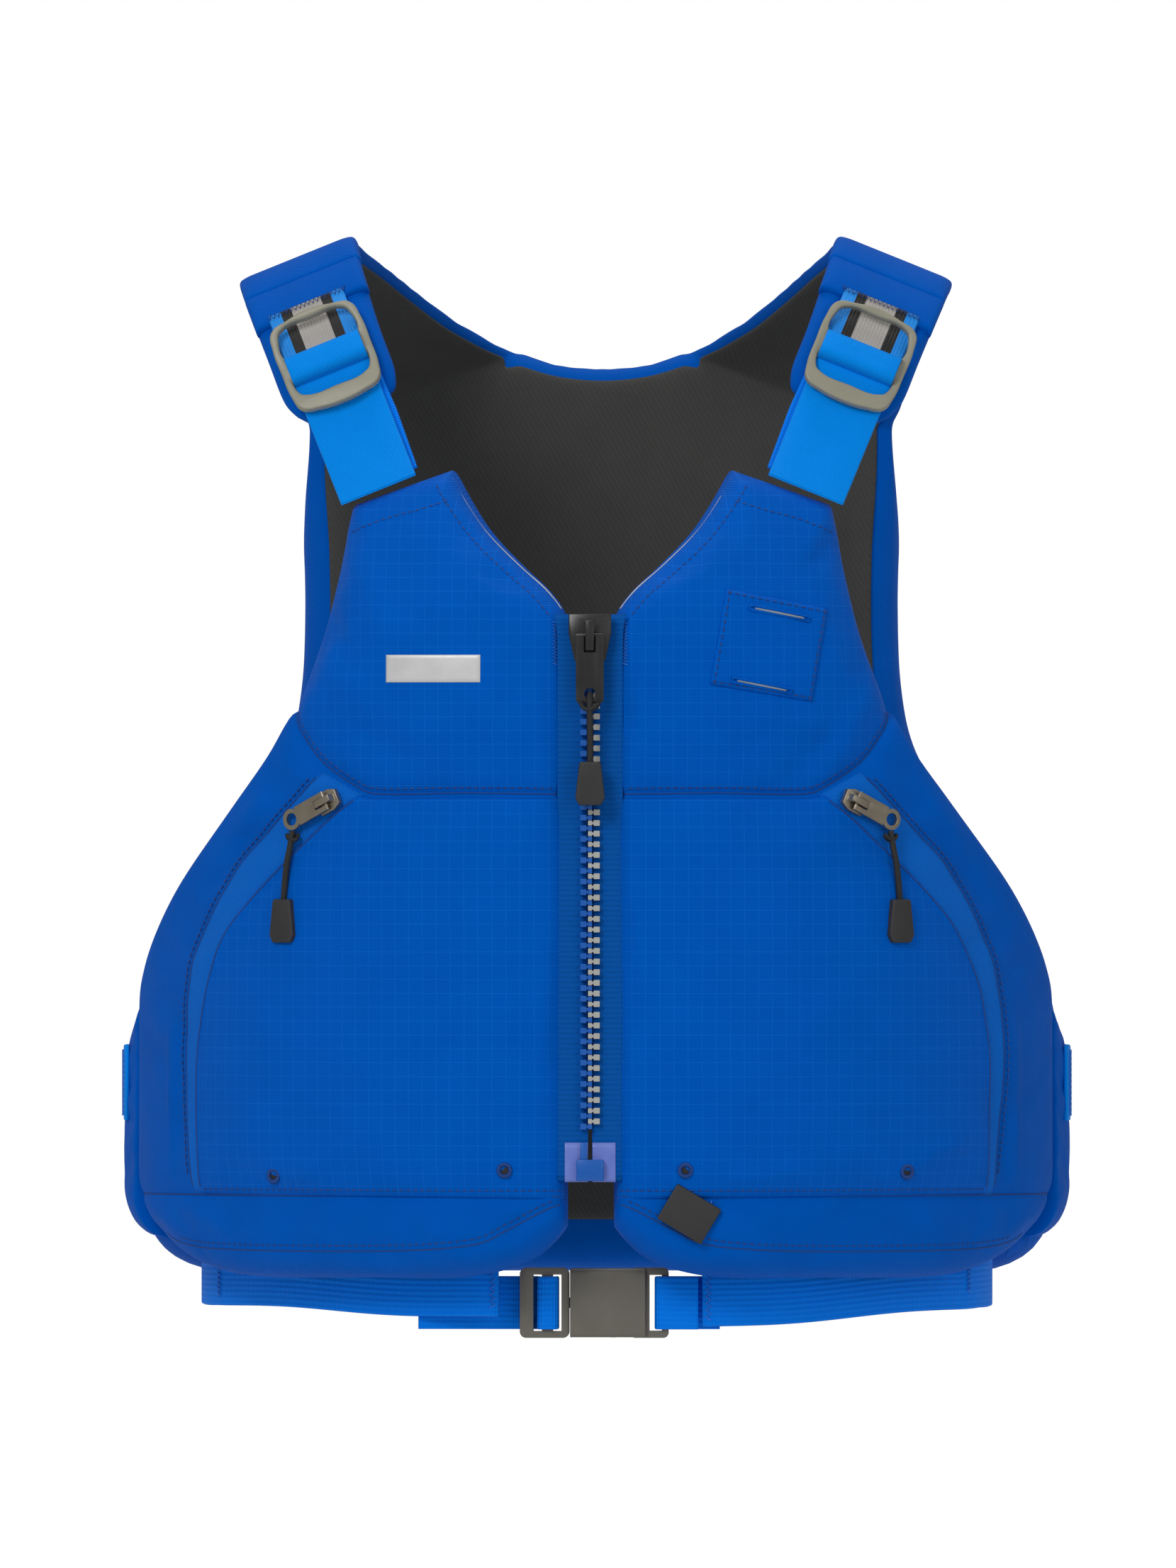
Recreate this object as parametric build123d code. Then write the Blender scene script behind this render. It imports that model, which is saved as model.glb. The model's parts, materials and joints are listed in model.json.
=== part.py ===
# A front-zip paddling life vest, worn size, standing as if on a torso.
# +X is the wearer's left, -Y the front, +Z up. The origin lies midway between the
# undersides of the two shoulder ridges. Sizes are in millimetres.
from build123d import *
import math
import os

# ---- torso ring: an oval of four tangent arcs, drawn in plan ----
half_width = 221.0        # outer skin, at the hips
half_depth = 148.0        # outer skin, front and back
end_radius = 90.0         # outer radius of the oval's two ends
cover_thickness = 1.6
foam_thickness = 29.0
lining_thickness = 1.6
layer_gap = 0.4           # air between cover, foam and lining
hem_z = -472.0
belly_top_z = -165.0      # above this the chest leans back
chest_top_z = -80.0
chest_lean = 27.0         # how far the chest has leaned back at chest_top_z
front_edge_y = -45.0      # side edge of each front half
back_edge_y = 28.0        # side edge of the back panel
joint_gap = 0.5           # between neighbouring panels
centre_gap = 11.5         # from the middle to the front covers' folded edges

# ---- shoulders: quarter-ellipse arches in a frame tilted about Y ----
ridge_x = 141.0
ridge_y = -22.0
ridge_z = 7.0
shoulder_slope = 22.0     # degrees, outer end down
strap_reach = 72.0        # ridge to strap foot, forwards
strap_drop = 120.0
back_reach = 142.0        # ridge to back panel, backwards
back_drop = 105.0
yoke_foot = 70.0          # the shoulder pads end this far below the ridge, at the back panel
pad_thickness = 9.0
pad_width = 58.0
flap_drop = 75.0          # the padded front flap ends this far below the ridge
webbing_thickness = 2.0
shoulder_webbing = 38.0
waist_webbing = 25.0
belt_webbing = 38.0

# ---- shoulder adjusters ----
adjuster_angle = 54.3     # degrees round the strap arch from the ridge
adjuster_width = 48.0
adjuster_length = 52.0
adjuster_thickness = 5.0
adjuster_bar = 9.0
adjuster_corner = 13.0

# ---- pocket zips: a circular arc in an upright plane turned towards the side ----
pocket_plane_turn = 36.4  # degrees
pocket_arc_x = 72.2
pocket_arc_y = -157.0
pocket_arc_z = -380.4
pocket_arc_radius = 145.9
pocket_zip_start = 67.5   # degrees above the arc's level line
pocket_zip_end = -20.0
pocket_travel = 76.0
pocket_top_z = -244.0
pocket_foot_z = -433.0
pocket_lift = 2.4         # the pocket panel's outer face above the cover
pocket_cloth = 1.2
patch_turn = -11.5        # degrees, the lash patch on the chest
tab_turn = -31.0          # degrees, the grip tab at the hem

# ---- front zip ----
zip_top_z = -160.0
zip_foot_z = -426.0
tape_width = 10.2
tape_thickness = 0.8
tooth_pitch = 5.0
tooth_height = 2.2
tooth_depth = 3.2
chain_half = 4.6
slider_length = 22.0
slider_width = 20.0
slider_plate = 2.4
running_gap = 0.4
cord_diameter = 3.0

# ---- waist buckle ----
buckle_y = -102.5
buckle_z = -483.8
buckle_height = 33.0
buckle_thickness = 11.0
buckle_mouth_x = -10.3
buckle_body_end_x = 25.0
buckle_loop_end_x = 36.0
insert_end_x = -34.0
insert_thickness = 7.0
buckle_wall = 2.0

wall = cover_thickness + foam_thickness + lining_thickness + 2 * layer_gap
far = 400.0               # longer than the vest in every direction
parts = {}


# ======== shared shapes ========

def oval(inset):
    # The torso oval, moved inwards by inset. Both arc centres stay where they are.
    end_centre = half_width - end_radius
    square = end_centre**2 + half_depth**2 - end_radius**2
    front_radius = square / (2 * (half_depth - end_radius))
    front_centre = front_radius - half_depth
    span = math.hypot(end_centre, front_centre)
    flat = front_radius - inset
    x = flat * end_centre / span
    y = flat * front_centre / span - front_centre
    edges = [
        ThreePointArc((-x, -y), (0, inset - half_depth), (x, -y)),
        ThreePointArc((x, -y), (half_width - inset, 0), (x, y)),
        ThreePointArc((x, y), (0, half_depth - inset), (-x, y)),
        ThreePointArc((-x, y), (inset - half_width, 0), (-x, -y)),
    ]
    return make_face(edges)


def ring(outer, inner, low=-520.0, high=0.0):
    # An upright ring between two insets.
    flat = Pos(0, 0, low) * (oval(outer) - oval(inner))
    return extrude(flat, high - low, dir=(0, 0, 1))


def leaning_ring(outer, inner):
    # The front's ring: upright over the belly, leaning back over the chest.
    flat = oval(outer) - oval(inner)
    rise = chest_top_z - belly_top_z
    length = math.hypot(rise, chest_lean)
    slope = (0, chest_lean / length, rise / length)
    top = extrude(Pos(0, 0, belly_top_z) * flat, length, dir=slope)
    return ring(outer, inner, high=belly_top_z) + top


def front_view_prism(outline, y_low, y_high):
    # A front-view outline, drawn in X and Z, pushed through from y_low to y_high.
    face = make_face(outline)
    return extrude(Plane.XZ.offset(-y_low) * face, -(y_high - y_low))


def box_between(low, high):
    size = [h - l for l, h in zip(low, high)]
    centre = [(h + l) / 2 for l, h in zip(low, high)]
    return Pos(*centre) * Box(*size)


def both_sides(name, shape):
    # The shape is drawn on the wearer's left; the right one is its mirror image.
    parts[name + "_left"] = shape
    parts[name + "_right"] = mirror(shape, about=Plane.YZ)


# ======== front halves ========

def front_outline():
    neck = (70.0, -93.0)
    strap_corner = (117.0, -108.0)
    armpit = (146.0, -207.0)
    side = (half_width + 4, -348.0)
    hem_start = (62.0, hem_z)
    return [
        Line((centre_gap, -447.0), (centre_gap, zip_top_z)),
        ThreePointArc((centre_gap, zip_top_z), (42.0, -131.0), neck),
        Line(neck, strap_corner),
        ThreePointArc(strap_corner, (126.0, -160.0), armpit),
        ThreePointArc(armpit, (188.0, -279.0), side),
        Line(side, (side[0], hem_z)),
        Line((side[0], hem_z), hem_start),
        ThreePointArc(hem_start, (30.0, -465.0), (centre_gap, -447.0)),
    ]


def make_front_halves():
    prism = front_view_prism(front_outline(), -far, front_edge_y)
    foam_in = cover_thickness + layer_gap
    lining_in = foam_in + foam_thickness + layer_gap
    both_sides("front_cover", leaning_ring(0, cover_thickness) & prism)
    both_sides("front_foam", leaning_ring(foam_in, foam_in + foam_thickness) & prism)
    both_sides("front_lining", leaning_ring(lining_in, lining_in + lining_thickness) & prism)


def pocket_ellipse(scale):
    # The pocket zip's arc as the front view shows it, larger or smaller by scale.
    narrow = math.cos(math.radians(pocket_plane_turn))
    oval_face = Ellipse(pocket_arc_radius * narrow * scale, pocket_arc_radius * scale)
    return Pos(pocket_arc_x, pocket_arc_z) * oval_face


def through_front(face):
    # A front-view face pushed through the whole front.
    return extrude(Plane.XZ.offset(-front_edge_y) * face, far)


def make_pockets():
    inside_x = centre_gap + 1.0
    height = pocket_top_z - pocket_foot_z
    window = Rectangle(far - inside_x, height)
    window = Pos((far + inside_x) / 2, pocket_foot_z + height / 2) * window
    middle_width = pocket_arc_x - inside_x
    middle = Pos(inside_x + middle_width / 2, pocket_arc_z) * Rectangle(middle_width, far)
    panel = (pocket_ellipse(0.94) + middle) & window
    cloth = ring(-pocket_lift, pocket_cloth - pocket_lift, high=belly_top_z)
    both_sides("pocket_panel", cloth & through_front(panel))

    def sector(low_scale, high_scale, outer, inner):
        start = math.radians(pocket_zip_start + 3)
        end = math.radians(pocket_zip_end)
        centre = (pocket_arc_x, pocket_arc_z)
        corners = [centre]
        for angle in (start, (start + end) / 2, end):
            corners.append((centre[0] + far * math.cos(angle), centre[1] + far * math.sin(angle)))
        wedge = make_face(Polyline(*corners, close=True))
        band = (pocket_ellipse(high_scale) - pocket_ellipse(low_scale)) & wedge
        return ring(outer, inner, high=belly_top_z) & through_front(band)

    tape = sector(0.95, 1.05, -0.9, -0.3)
    coil = sector(0.985, 1.015, -2.1, -0.3)
    both_sides("pocket_zip", tape + coil)


def make_front_trim():
    eyelets = []
    for x in (42.0, 146.0):
        flat = Pos(x, -422.0) * (Circle(3.5) - Circle(1.4))
        stitching = ring(-pocket_lift - 1.0, -pocket_lift - 0.2, high=belly_top_z)
        eyelets.append(stitching & through_front(flat))
    both_sides("drain_eyelets", eyelets[0] + eyelets[1])

    patch = Rectangle(48.0, 45.0)
    for z in (17.0, -19.0):
        patch -= Pos(0, z) * SlotOverall(26.0, 2.4)
    patch = Pos(83.0, -174.5) * Rot(0, 0, patch_turn) * patch
    parts["lash_patch"] = leaning_ring(-1.5, -0.3) & through_front(patch)
    tab = Pos(46.5, -441.5) * Rot(0, 0, tab_turn) * Rectangle(24.0, 19.0)
    tab_back = -pocket_lift - 0.4
    parts["grip_tab"] = ring(tab_back - 1.4, tab_back, high=belly_top_z) & through_front(tab)


# ======== back and sides ========

def back_outline():
    shoulder_in = (45.0, -34.0)
    shoulder_out = (136.0, -71.0)
    armpit = (146.0, -215.0)
    side = (half_width + 4, -348.0)
    right = [
        ThreePointArc((-shoulder_in[0], shoulder_in[1]), (0.0, -42.0), shoulder_in),
        Line(shoulder_in, shoulder_out),
        ThreePointArc(shoulder_out, (131.0, -150.0), armpit),
        ThreePointArc(armpit, (188.0, -281.0), side),
        Line(side, (side[0], hem_z)),
        Line((side[0], hem_z), (-side[0], hem_z)),
        Line((-side[0], hem_z), (-side[0], side[1])),
        ThreePointArc((-side[0], side[1]), (-188.0, -281.0), (-armpit[0], armpit[1])),
        ThreePointArc((-armpit[0], armpit[1]), (-131.0, -150.0), (-shoulder_out[0], shoulder_out[1])),
        Line((-shoulder_out[0], shoulder_out[1]), (-shoulder_in[0], shoulder_in[1])),
    ]
    return right


def make_back():
    prism = front_view_prism(back_outline(), back_edge_y, far)
    foam_in = cover_thickness + layer_gap
    lining_in = foam_in + foam_thickness + layer_gap
    parts["back_cover"] = ring(0, cover_thickness) & prism
    parts["back_foam"] = ring(foam_in, foam_in + foam_thickness) & prism
    parts["back_lining"] = ring(lining_in, lining_in + lining_thickness) & prism


def make_sides():
    panel = ring(3.0, wall - 4.0, low=hem_z + 2, high=-332.0)
    cut = box_between((0, front_edge_y + joint_gap, -far - 200), (far, back_edge_y - joint_gap, 0))
    both_sides("side_panel", panel & cut)
    strap = ring(-webbing_thickness - 0.4, -0.4, low=-399.0, high=-363.0)
    both_sides("side_strap", strap & box_between((0, -15, -500), (far, 60, 0)))


# ======== shoulders ========

shoulder = Pos(ridge_x, ridge_y, ridge_z) * Rot(0, shoulder_slope, 0)


def arch(reach, drop, low, high, y_range, z_range, x_range):
    # Part of a quarter-ellipse arch that falls from the ridge. Low and high are its
    # faces' heights above the arch line; the ranges trim it in the shoulder's frame.
    band = Ellipse(reach + high, drop + high) - Ellipse(reach + low, drop + low)
    width = x_range[1] - x_range[0]
    tube = extrude(Plane.YZ.offset(x_range[0]) * Pos(0, -drop) * band, width)
    low_corner = (x_range[0] - 1, y_range[0], z_range[0])
    high_corner = (x_range[1] + 1, y_range[1], z_range[1])
    return tube & box_between(low_corner, high_corner)


def make_shoulders():
    half = pad_width / 2
    under = -1.0
    yoke = arch(back_reach, back_drop, under - pad_thickness, under,
                (joint_gap / 2, far), (-yoke_foot, 30), (-110, half))
    inner_edge = [(112, ridge_y - 5), (96, 40), (76, 80), (46, 112), (46, 160)]
    outer_edge = [(150, 160), (136, 112), (152, 60), (172, ridge_y - 5)]
    plan = make_face(Polyline(*inner_edge, *outer_edge, close=True))
    trim = extrude(Pos(0, 0, -200) * plan, 400)
    both_sides("shoulder_pad", (shoulder * yoke) & trim)
    flap = arch(strap_reach, strap_drop, under - pad_thickness, under,
                (-far, -joint_gap / 2), (-flap_drop, 30), (-half, half))
    both_sides("shoulder_flap", shoulder * flap)
    half_strap = shoulder_webbing / 2
    centre = 3.0
    sides = (centre - half_strap, centre + half_strap)
    strap = arch(strap_reach, strap_drop, 0, webbing_thickness, (-far, -joint_gap), (-46, -24), sides)
    both_sides("reflective_strap", shoulder * strap)
    foot = -strap_drop + 8
    webbing = arch(strap_reach, strap_drop, 0, webbing_thickness, (-far, -joint_gap), (foot, -54), sides)
    both_sides("shoulder_webbing", shoulder * webbing)


def adjuster_plane():
    angle = math.radians(adjuster_angle)
    y = -strap_reach * math.sin(angle)
    z = strap_drop * (math.cos(angle) - 1)
    normal = (0, -math.sin(angle) / strap_reach, math.cos(angle) / strap_drop)
    return Plane(origin=(3.0, y, z), x_dir=(1, 0, 0), z_dir=normal)


def make_adjusters():
    # A three-bar slide: two windows, with the webbing turned over the middle bar.
    low = webbing_thickness + 0.6
    window_length = (adjuster_length - 3 * adjuster_bar) / 2
    window_y = (adjuster_bar + window_length) / 2
    frame = RectangleRounded(adjuster_width, adjuster_length, adjuster_corner)
    for side in (-1, 1):
        frame -= Pos(0, side * window_y) * RectangleRounded(shoulder_webbing + 2, window_length, 0.9)
    body = extrude(Pos(0, 0, low) * frame, adjuster_thickness)
    body = chamfer(body.faces().sort_by(Axis.Z)[-1].outer_wire().edges(), 1.5)
    both_sides("adjuster", shoulder * adjuster_plane().location * body)
    top = low + adjuster_thickness + running_gap
    leg_in = adjuster_bar / 2 + running_gap
    half = shoulder_webbing / 2
    outer = leg_in + webbing_thickness
    turn = box_between((-half, -outer, top), (half, outer, top + webbing_thickness))
    for side in (-1, 1):
        leg = Pos(0, side * (leg_in + webbing_thickness / 2), (top + low) / 2)
        turn += leg * Box(shoulder_webbing, webbing_thickness, top - low)
    both_sides("webbing_turn", shoulder * adjuster_plane().location * turn)


# ======== front zip ========

zip_face_y = -half_depth + cover_thickness + running_gap   # the tapes' front faces
tooth_front_y = zip_face_y - 0.3 - tooth_depth


def make_tapes_and_teeth():
    inner = 1.0
    outer = inner + tape_width - 0.2
    back = zip_face_y + tape_thickness
    both_sides("zip_tape", box_between((inner, zip_face_y, zip_foot_z), (outer, back, zip_top_z)))
    first = zip_top_z - slider_length - 6.0
    last = zip_foot_z + 20.0
    count = int((first - last) / tooth_pitch)
    for name, sign, shift in (("left", 1, 0.0), ("right", -1, tooth_pitch / 2)):
        x_ends = sorted((-sign * 1.0, sign * chain_half))
        teeth = []
        for index in range(count):
            z = first - shift - index * tooth_pitch
            low = (x_ends[0], tooth_front_y, z - tooth_height / 2)
            high = (x_ends[1], tooth_front_y + tooth_depth, z + tooth_height / 2)
            teeth.append(box_between(low, high))
        parts["zip_teeth_" + name] = Compound(teeth)


def make_zip_foot():
    height = 10.0
    front = tooth_front_y - 1.2
    top = zip_foot_z + height
    box = box_between((-6.4, front, zip_foot_z), (6.4, zip_face_y - 0.3, top))
    socket = box_between((-5.0, front + 1.0, zip_foot_z + 1.2), (-1.0, zip_face_y - 1.0, 0))
    parts["zip_box"] = box - socket
    pin_low = (-4.6, front + 1.4, zip_foot_z + 1.6)
    parts["zip_pin"] = box_between(pin_low, (-1.4, zip_face_y - 1.4, zip_foot_z + 18))


slider_back_y = tooth_front_y - running_gap
slider_front_y = slider_back_y - slider_plate
puller_y = slider_front_y - 1.6                # middle of the puller's plate and its pin
puller_thickness = 2.2
puller_pin_z = zip_top_z - 10.0
puller_end_z = puller_pin_z - 32.0
cord_hole_z = puller_end_z + 4.8


def make_slider():
    half = slider_width / 2
    top = zip_top_z
    foot = zip_top_z - slider_length
    shape = make_face(Polyline((-half, top), (half, top), (half, top - 9), (7.2, foot), (-7.2, foot),
                               (-half, top - 9), close=True))
    body = extrude(Plane.XZ.offset(-slider_back_y) * shape, slider_plate)
    for side in (-1, 1):
        flange_x = sorted((side * (chain_half + running_gap), side * (chain_half + running_gap + 1.4)))
        low = (flange_x[0], slider_back_y - 0.5, foot + 1)
        body += box_between(low, (flange_x[1], zip_face_y - running_gap, top - 3))
    bridge_front = puller_y - puller_thickness / 2 - 2.0
    bridge = box_between((-2.0, bridge_front, top - 17), (2.0, slider_front_y, top - 3))
    hole_half = puller_thickness / 2 + running_gap
    hole_low = (-3, puller_y - hole_half, puller_pin_z - 1.9)
    hole = box_between(hole_low, (3, slider_front_y, puller_pin_z + 1.9))
    parts["zip_slider"] = body + (bridge - hole)


def make_puller():
    half = puller_thickness / 2
    plate_top = zip_top_z - 17 - 1.0
    plate = box_between((-6.5, puller_y - half, puller_end_z), (6.5, puller_y + half, plate_top))
    plate = fillet(plate.edges().filter_by(Axis.Y), 2.2)
    pin = Pos(0, puller_y, puller_pin_z) * Rot(0, 90, 0) * Cylinder(half, 13.0)
    arms = []
    for side in (-1, 1):
        ends = sorted((side * 2.8, side * 6.5))
        low = (ends[0], puller_y - half, plate_top - 3)
        arms.append(box_between(low, (ends[1], puller_y + half, puller_pin_z)))
    eye = Pos(0, puller_y, cord_hole_z) * Rot(90, 0, 0) * Cylinder(2.6, 10)
    parts["zip_puller"] = plate + pin + arms[0] + arms[1] - eye


def cord_tube(points):
    # Straight runs joined by arcs that are as large as their two runs allow.
    path_points = [Vector(*p) for p in points]
    radii = []
    for before, here, after in zip(path_points, path_points[1:], path_points[2:]):
        turn = math.radians((here - before).get_angle(after - here))
        shorter = min((here - before).length, (after - here).length)
        radii.append(0.45 * shorter / math.tan(turn / 2))
    path = FilletPolyline(*path_points, radius=radii)
    section = Plane(origin=path @ 0, z_dir=path % 0) * Circle(cord_diameter / 2)
    tube = sweep(section, path=path)
    expected = math.pi * cord_diameter**2 / 4 * path.length
    print("cord length", round(path.length, 2), "radii", [round(r, 1) for r in radii],
          "volume ratio", round(tube.volume / expected, 4))
    return tube


def pull_tab():
    # A moulded tab, its top at the origin, its face towards -Y.
    right = [(5, 0), (7, -17), (5.2, -20.5)]
    left = [(-x, z) for x, z in reversed(right)]
    outline = make_face(Polyline(*right, *left, close=True))
    tab = extrude(Plane.XZ.offset(-2.5) * outline, 5.0)
    return fillet(tab.edges().filter_by(Axis.Y), 1.4)


zip_cord_route = [
    (0.0, puller_y, cord_hole_z - 0.4),
    (0.0, puller_y - 3.2, cord_hole_z - 3.0),
    (0.0, puller_y - 3.6, cord_hole_z - 9.0),
    (0.3, puller_y - 3.2, cord_hole_z - 20.0),
    (0.2, puller_y - 2.8, cord_hole_z - 32.0),
]


def make_zip_pull():
    parts["zip_pull_cord"] = cord_tube(zip_cord_route)
    end = zip_cord_route[-1]
    parts["zip_pull_tab"] = Pos(end[0], end[1], end[2]) * pull_tab()


# ======== pocket zip sliders ========

def pocket_frame(lift=0.0):
    # At the slider's rest place: x along the zip towards its foot, z away from the body.
    turn = math.radians(pocket_plane_turn)
    angle = math.radians(pocket_zip_start - 2.0)
    across = Vector(math.cos(turn), math.sin(turn), 0)
    normal = Vector(math.sin(turn), -math.cos(turn), 0)
    up = Vector(0, 0, 1)
    centre = Vector(pocket_arc_x, pocket_arc_y, pocket_arc_z)
    place = centre + (across * math.cos(angle) + up * math.sin(angle)) * pocket_arc_radius
    along = across * math.sin(angle) - up * math.cos(angle)
    return Plane(origin=place + normal * lift, x_dir=along, z_dir=normal)


pocket_slider_lift = 2.8
pocket_pin_lift = pocket_slider_lift + 4.6
ring_reach = 21.0
ring_radius = 5.0


def make_pocket_sliders():
    frame = pocket_frame(pocket_slider_lift)
    half_plan = [(-6, 3.5), (-2, 5.2), (6, 5.2)]
    plan = make_face(Polyline(*half_plan, *[(x, -y) for x, y in reversed(half_plan)], close=True))
    body = extrude(plan, 2.6)
    bridge = box_between((-4.5, -1.6, 2.6), (5.0, 1.6, 7.2))
    slot = box_between((-2.2, -3, 2.6), (2.2, 3, 5.9))
    both_sides("pocket_slider", frame.location * (body + (bridge - slot)))
    pin_frame = pocket_frame(pocket_pin_lift)
    half = 0.9
    pin = Rot(90, 0, 0) * Cylinder(half, 9.2)
    arms = box_between((0, 2.2, -half), (9.0, 4.6, half)) + box_between((0, -4.6, -half), (9.0, -2.2, half))
    stem = box_between((6.2, -4.6, -half), (ring_reach - ring_radius + 1.4, 4.6, half))
    loop = Pos(ring_reach, 0, -half) * extrude(Circle(ring_radius) - Circle(ring_radius - 2.0), 2 * half)
    both_sides("pocket_puller", pin_frame.location * (pin + arms + stem + loop))


def ring_centre():
    frame = pocket_frame(pocket_pin_lift)
    return frame.origin + frame.x_dir * ring_reach


def make_pocket_pulls():
    middle = ring_centre()
    drop = ring_radius + 0.5
    route = [
        (middle.X, middle.Y, middle.Z - drop),
        (middle.X + 0.9, middle.Y - 0.8, middle.Z - drop - 7.0),
        (middle.X + 3.2, middle.Y - 0.4, middle.Z - drop - 17.0),
        (middle.X + 4.2, middle.Y + 1.4, middle.Z - drop - 32.0),
    ]
    print("pocket cord route", [[round(v, 2) for v in p] for p in route])
    both_sides("pocket_pull_cord", cord_tube(route))
    tab = Pos(*route[-1]) * Rot(0, 0, pocket_plane_turn) * pull_tab()
    both_sides("pocket_pull_tab", tab)


# ======== belt and buckle ========

def make_belts():
    inner = wall + 0.6
    low = buckle_z - 6.5
    band = ring(inner, inner + webbing_thickness, low=low, high=low + belt_webbing)
    parts["belt_right"] = band & box_between((-far, -far, -far - 200), (-44, 60, 0))
    parts["belt_left"] = band & box_between((52, -far, -far - 200), (far, 60, 0))
    half = waist_webbing / 2
    back = buckle_y + 0.4
    thick = webbing_thickness
    # Left: sewn round the buckle body's end bar.
    near = buckle_loop_end_x - 6.8
    foot = buckle_z - half
    top = buckle_z + half
    loop = box_between((near, back - 4.6, foot), (near + thick, back + 4.6, top))
    loop += box_between((near, back + 4.6 - thick, foot), (60.0, back + 4.6, top))
    loop += box_between((near, back - 4.6, foot), (44.0, back - 4.6 + thick, top))
    parts["buckle_webbing_left"] = loop
    # Right: threaded over the insert's middle bar, then back towards the belt.
    front = buckle_y - insert_thickness / 2 - running_gap - thick
    rear = buckle_y + insert_thickness / 2 + running_gap
    turn = box_between((-26.9, front, foot), (-15.2, front + thick, top))
    turn += box_between((-17.2, front, foot), (-15.2, rear, top))
    turn += box_between((-26.9, front, foot), (-24.9, rear + thick, top))
    turn += box_between((-42.0, rear, foot), (-24.9, rear + thick, top))
    parts["buckle_webbing_right"] = turn


def make_buckle_body():
    half_y = buckle_thickness / 2
    half_z = buckle_height / 2
    middle = Pos(0, buckle_y, buckle_z)
    shell = box_between((buckle_mouth_x, -half_y, -half_z), (buckle_body_end_x, half_y, half_z))
    shell = fillet(shell.edges().filter_by(Axis.X), 3.2)
    cavity_y = half_y - buckle_wall
    cavity = box_between((buckle_mouth_x - 1, -cavity_y, -half_z - 1), (19.5, cavity_y, half_z + 1))
    loop = box_between((buckle_body_end_x - 2, -2.2, -half_z), (buckle_loop_end_x, 2.2, half_z))
    loop = fillet(loop.edges().filter_by(Axis.Y), 2.5)
    window_low = (buckle_body_end_x + 2, -3, 3.4 - half_z)
    window = box_between(window_low, (buckle_loop_end_x - 3.2, 3, half_z - 3.4))
    parts["buckle_body"] = middle * (shell - cavity + (loop - window))


arm_root_z = 8.6


def make_buckle_insert():
    half_y = insert_thickness / 2
    half_z = buckle_height / 2
    middle = Pos(0, buckle_y, buckle_z)
    end = buckle_mouth_x - running_gap
    frame = box_between((insert_end_x, -half_y, -half_z), (end, half_y, half_z))
    frame = fillet(frame.edges().filter_by(Axis.Y), 3.0)
    slot_half = waist_webbing / 2 + 0.8
    for low, high in ((-27.6, -23.6), (-18.4, -14.4)):
        frame -= box_between((low, -half_y - 1, -slot_half), (high, half_y + 1, slot_half))
    tongue = box_between((end - 1, -2.6, -2.4), (16.0, 2.6, 2.4))
    parts["buckle_insert"] = middle * (frame + tongue)
    # Two spring arms with thumb pads; each is a body of its own that squeezes inwards.
    reach = box_between((end + running_gap, -2.4, arm_root_z - 1.8), (18.0, 2.4, arm_root_z + 1.6))
    pad_outline = [
        Line((1.5, arm_root_z), (18.4, arm_root_z)),
        Line((18.4, arm_root_z), (18.4, half_z - 2.2)),
        ThreePointArc((18.4, half_z - 2.2), (10.0, half_z - 0.2), (1.5, half_z - 2.2)),
        Line((1.5, half_z - 2.2), (1.5, arm_root_z)),
    ]
    pad = extrude(Plane.XZ.offset(-3.0) * make_face(pad_outline), 6.0)
    arm = reach + pad
    parts["release_arm_upper"] = middle * arm
    parts["release_arm_lower"] = middle * mirror(arm, about=Plane.XY)


make_front_halves()
make_pockets()
make_front_trim()
make_back()
make_sides()
make_shoulders()
make_adjusters()
make_tapes_and_teeth()
make_zip_foot()
make_slider()
make_puller()
make_zip_pull()
make_pocket_sliders()
make_pocket_pulls()
make_belts()
make_buckle_body()
make_buckle_insert()

os.makedirs("parts", exist_ok=True)
for name, shape in parts.items():
    export_step(shape, os.path.join("parts", name + ".step"))
frame = pocket_frame()
centre = Vector(pocket_arc_x, pocket_arc_y, pocket_arc_z)
print(len(parts), "nodes; pocket arc centre", centre, "normal", frame.z_dir, "ring centre", ring_centre())
print("pocket puller axis through", pocket_frame(pocket_pin_lift).origin, "along", pocket_frame().y_dir)
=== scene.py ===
# A paddling life vest: its fabric, foam, webbing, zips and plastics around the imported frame.
# Lengths are in millimetres until a mesh is made. +X is the wearer's left, -Y the front.
import math
import json

import bmesh
import bpy
import numpy as np
from mathutils import Matrix, Vector
from mathutils.bvhtree import BVHTree

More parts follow.
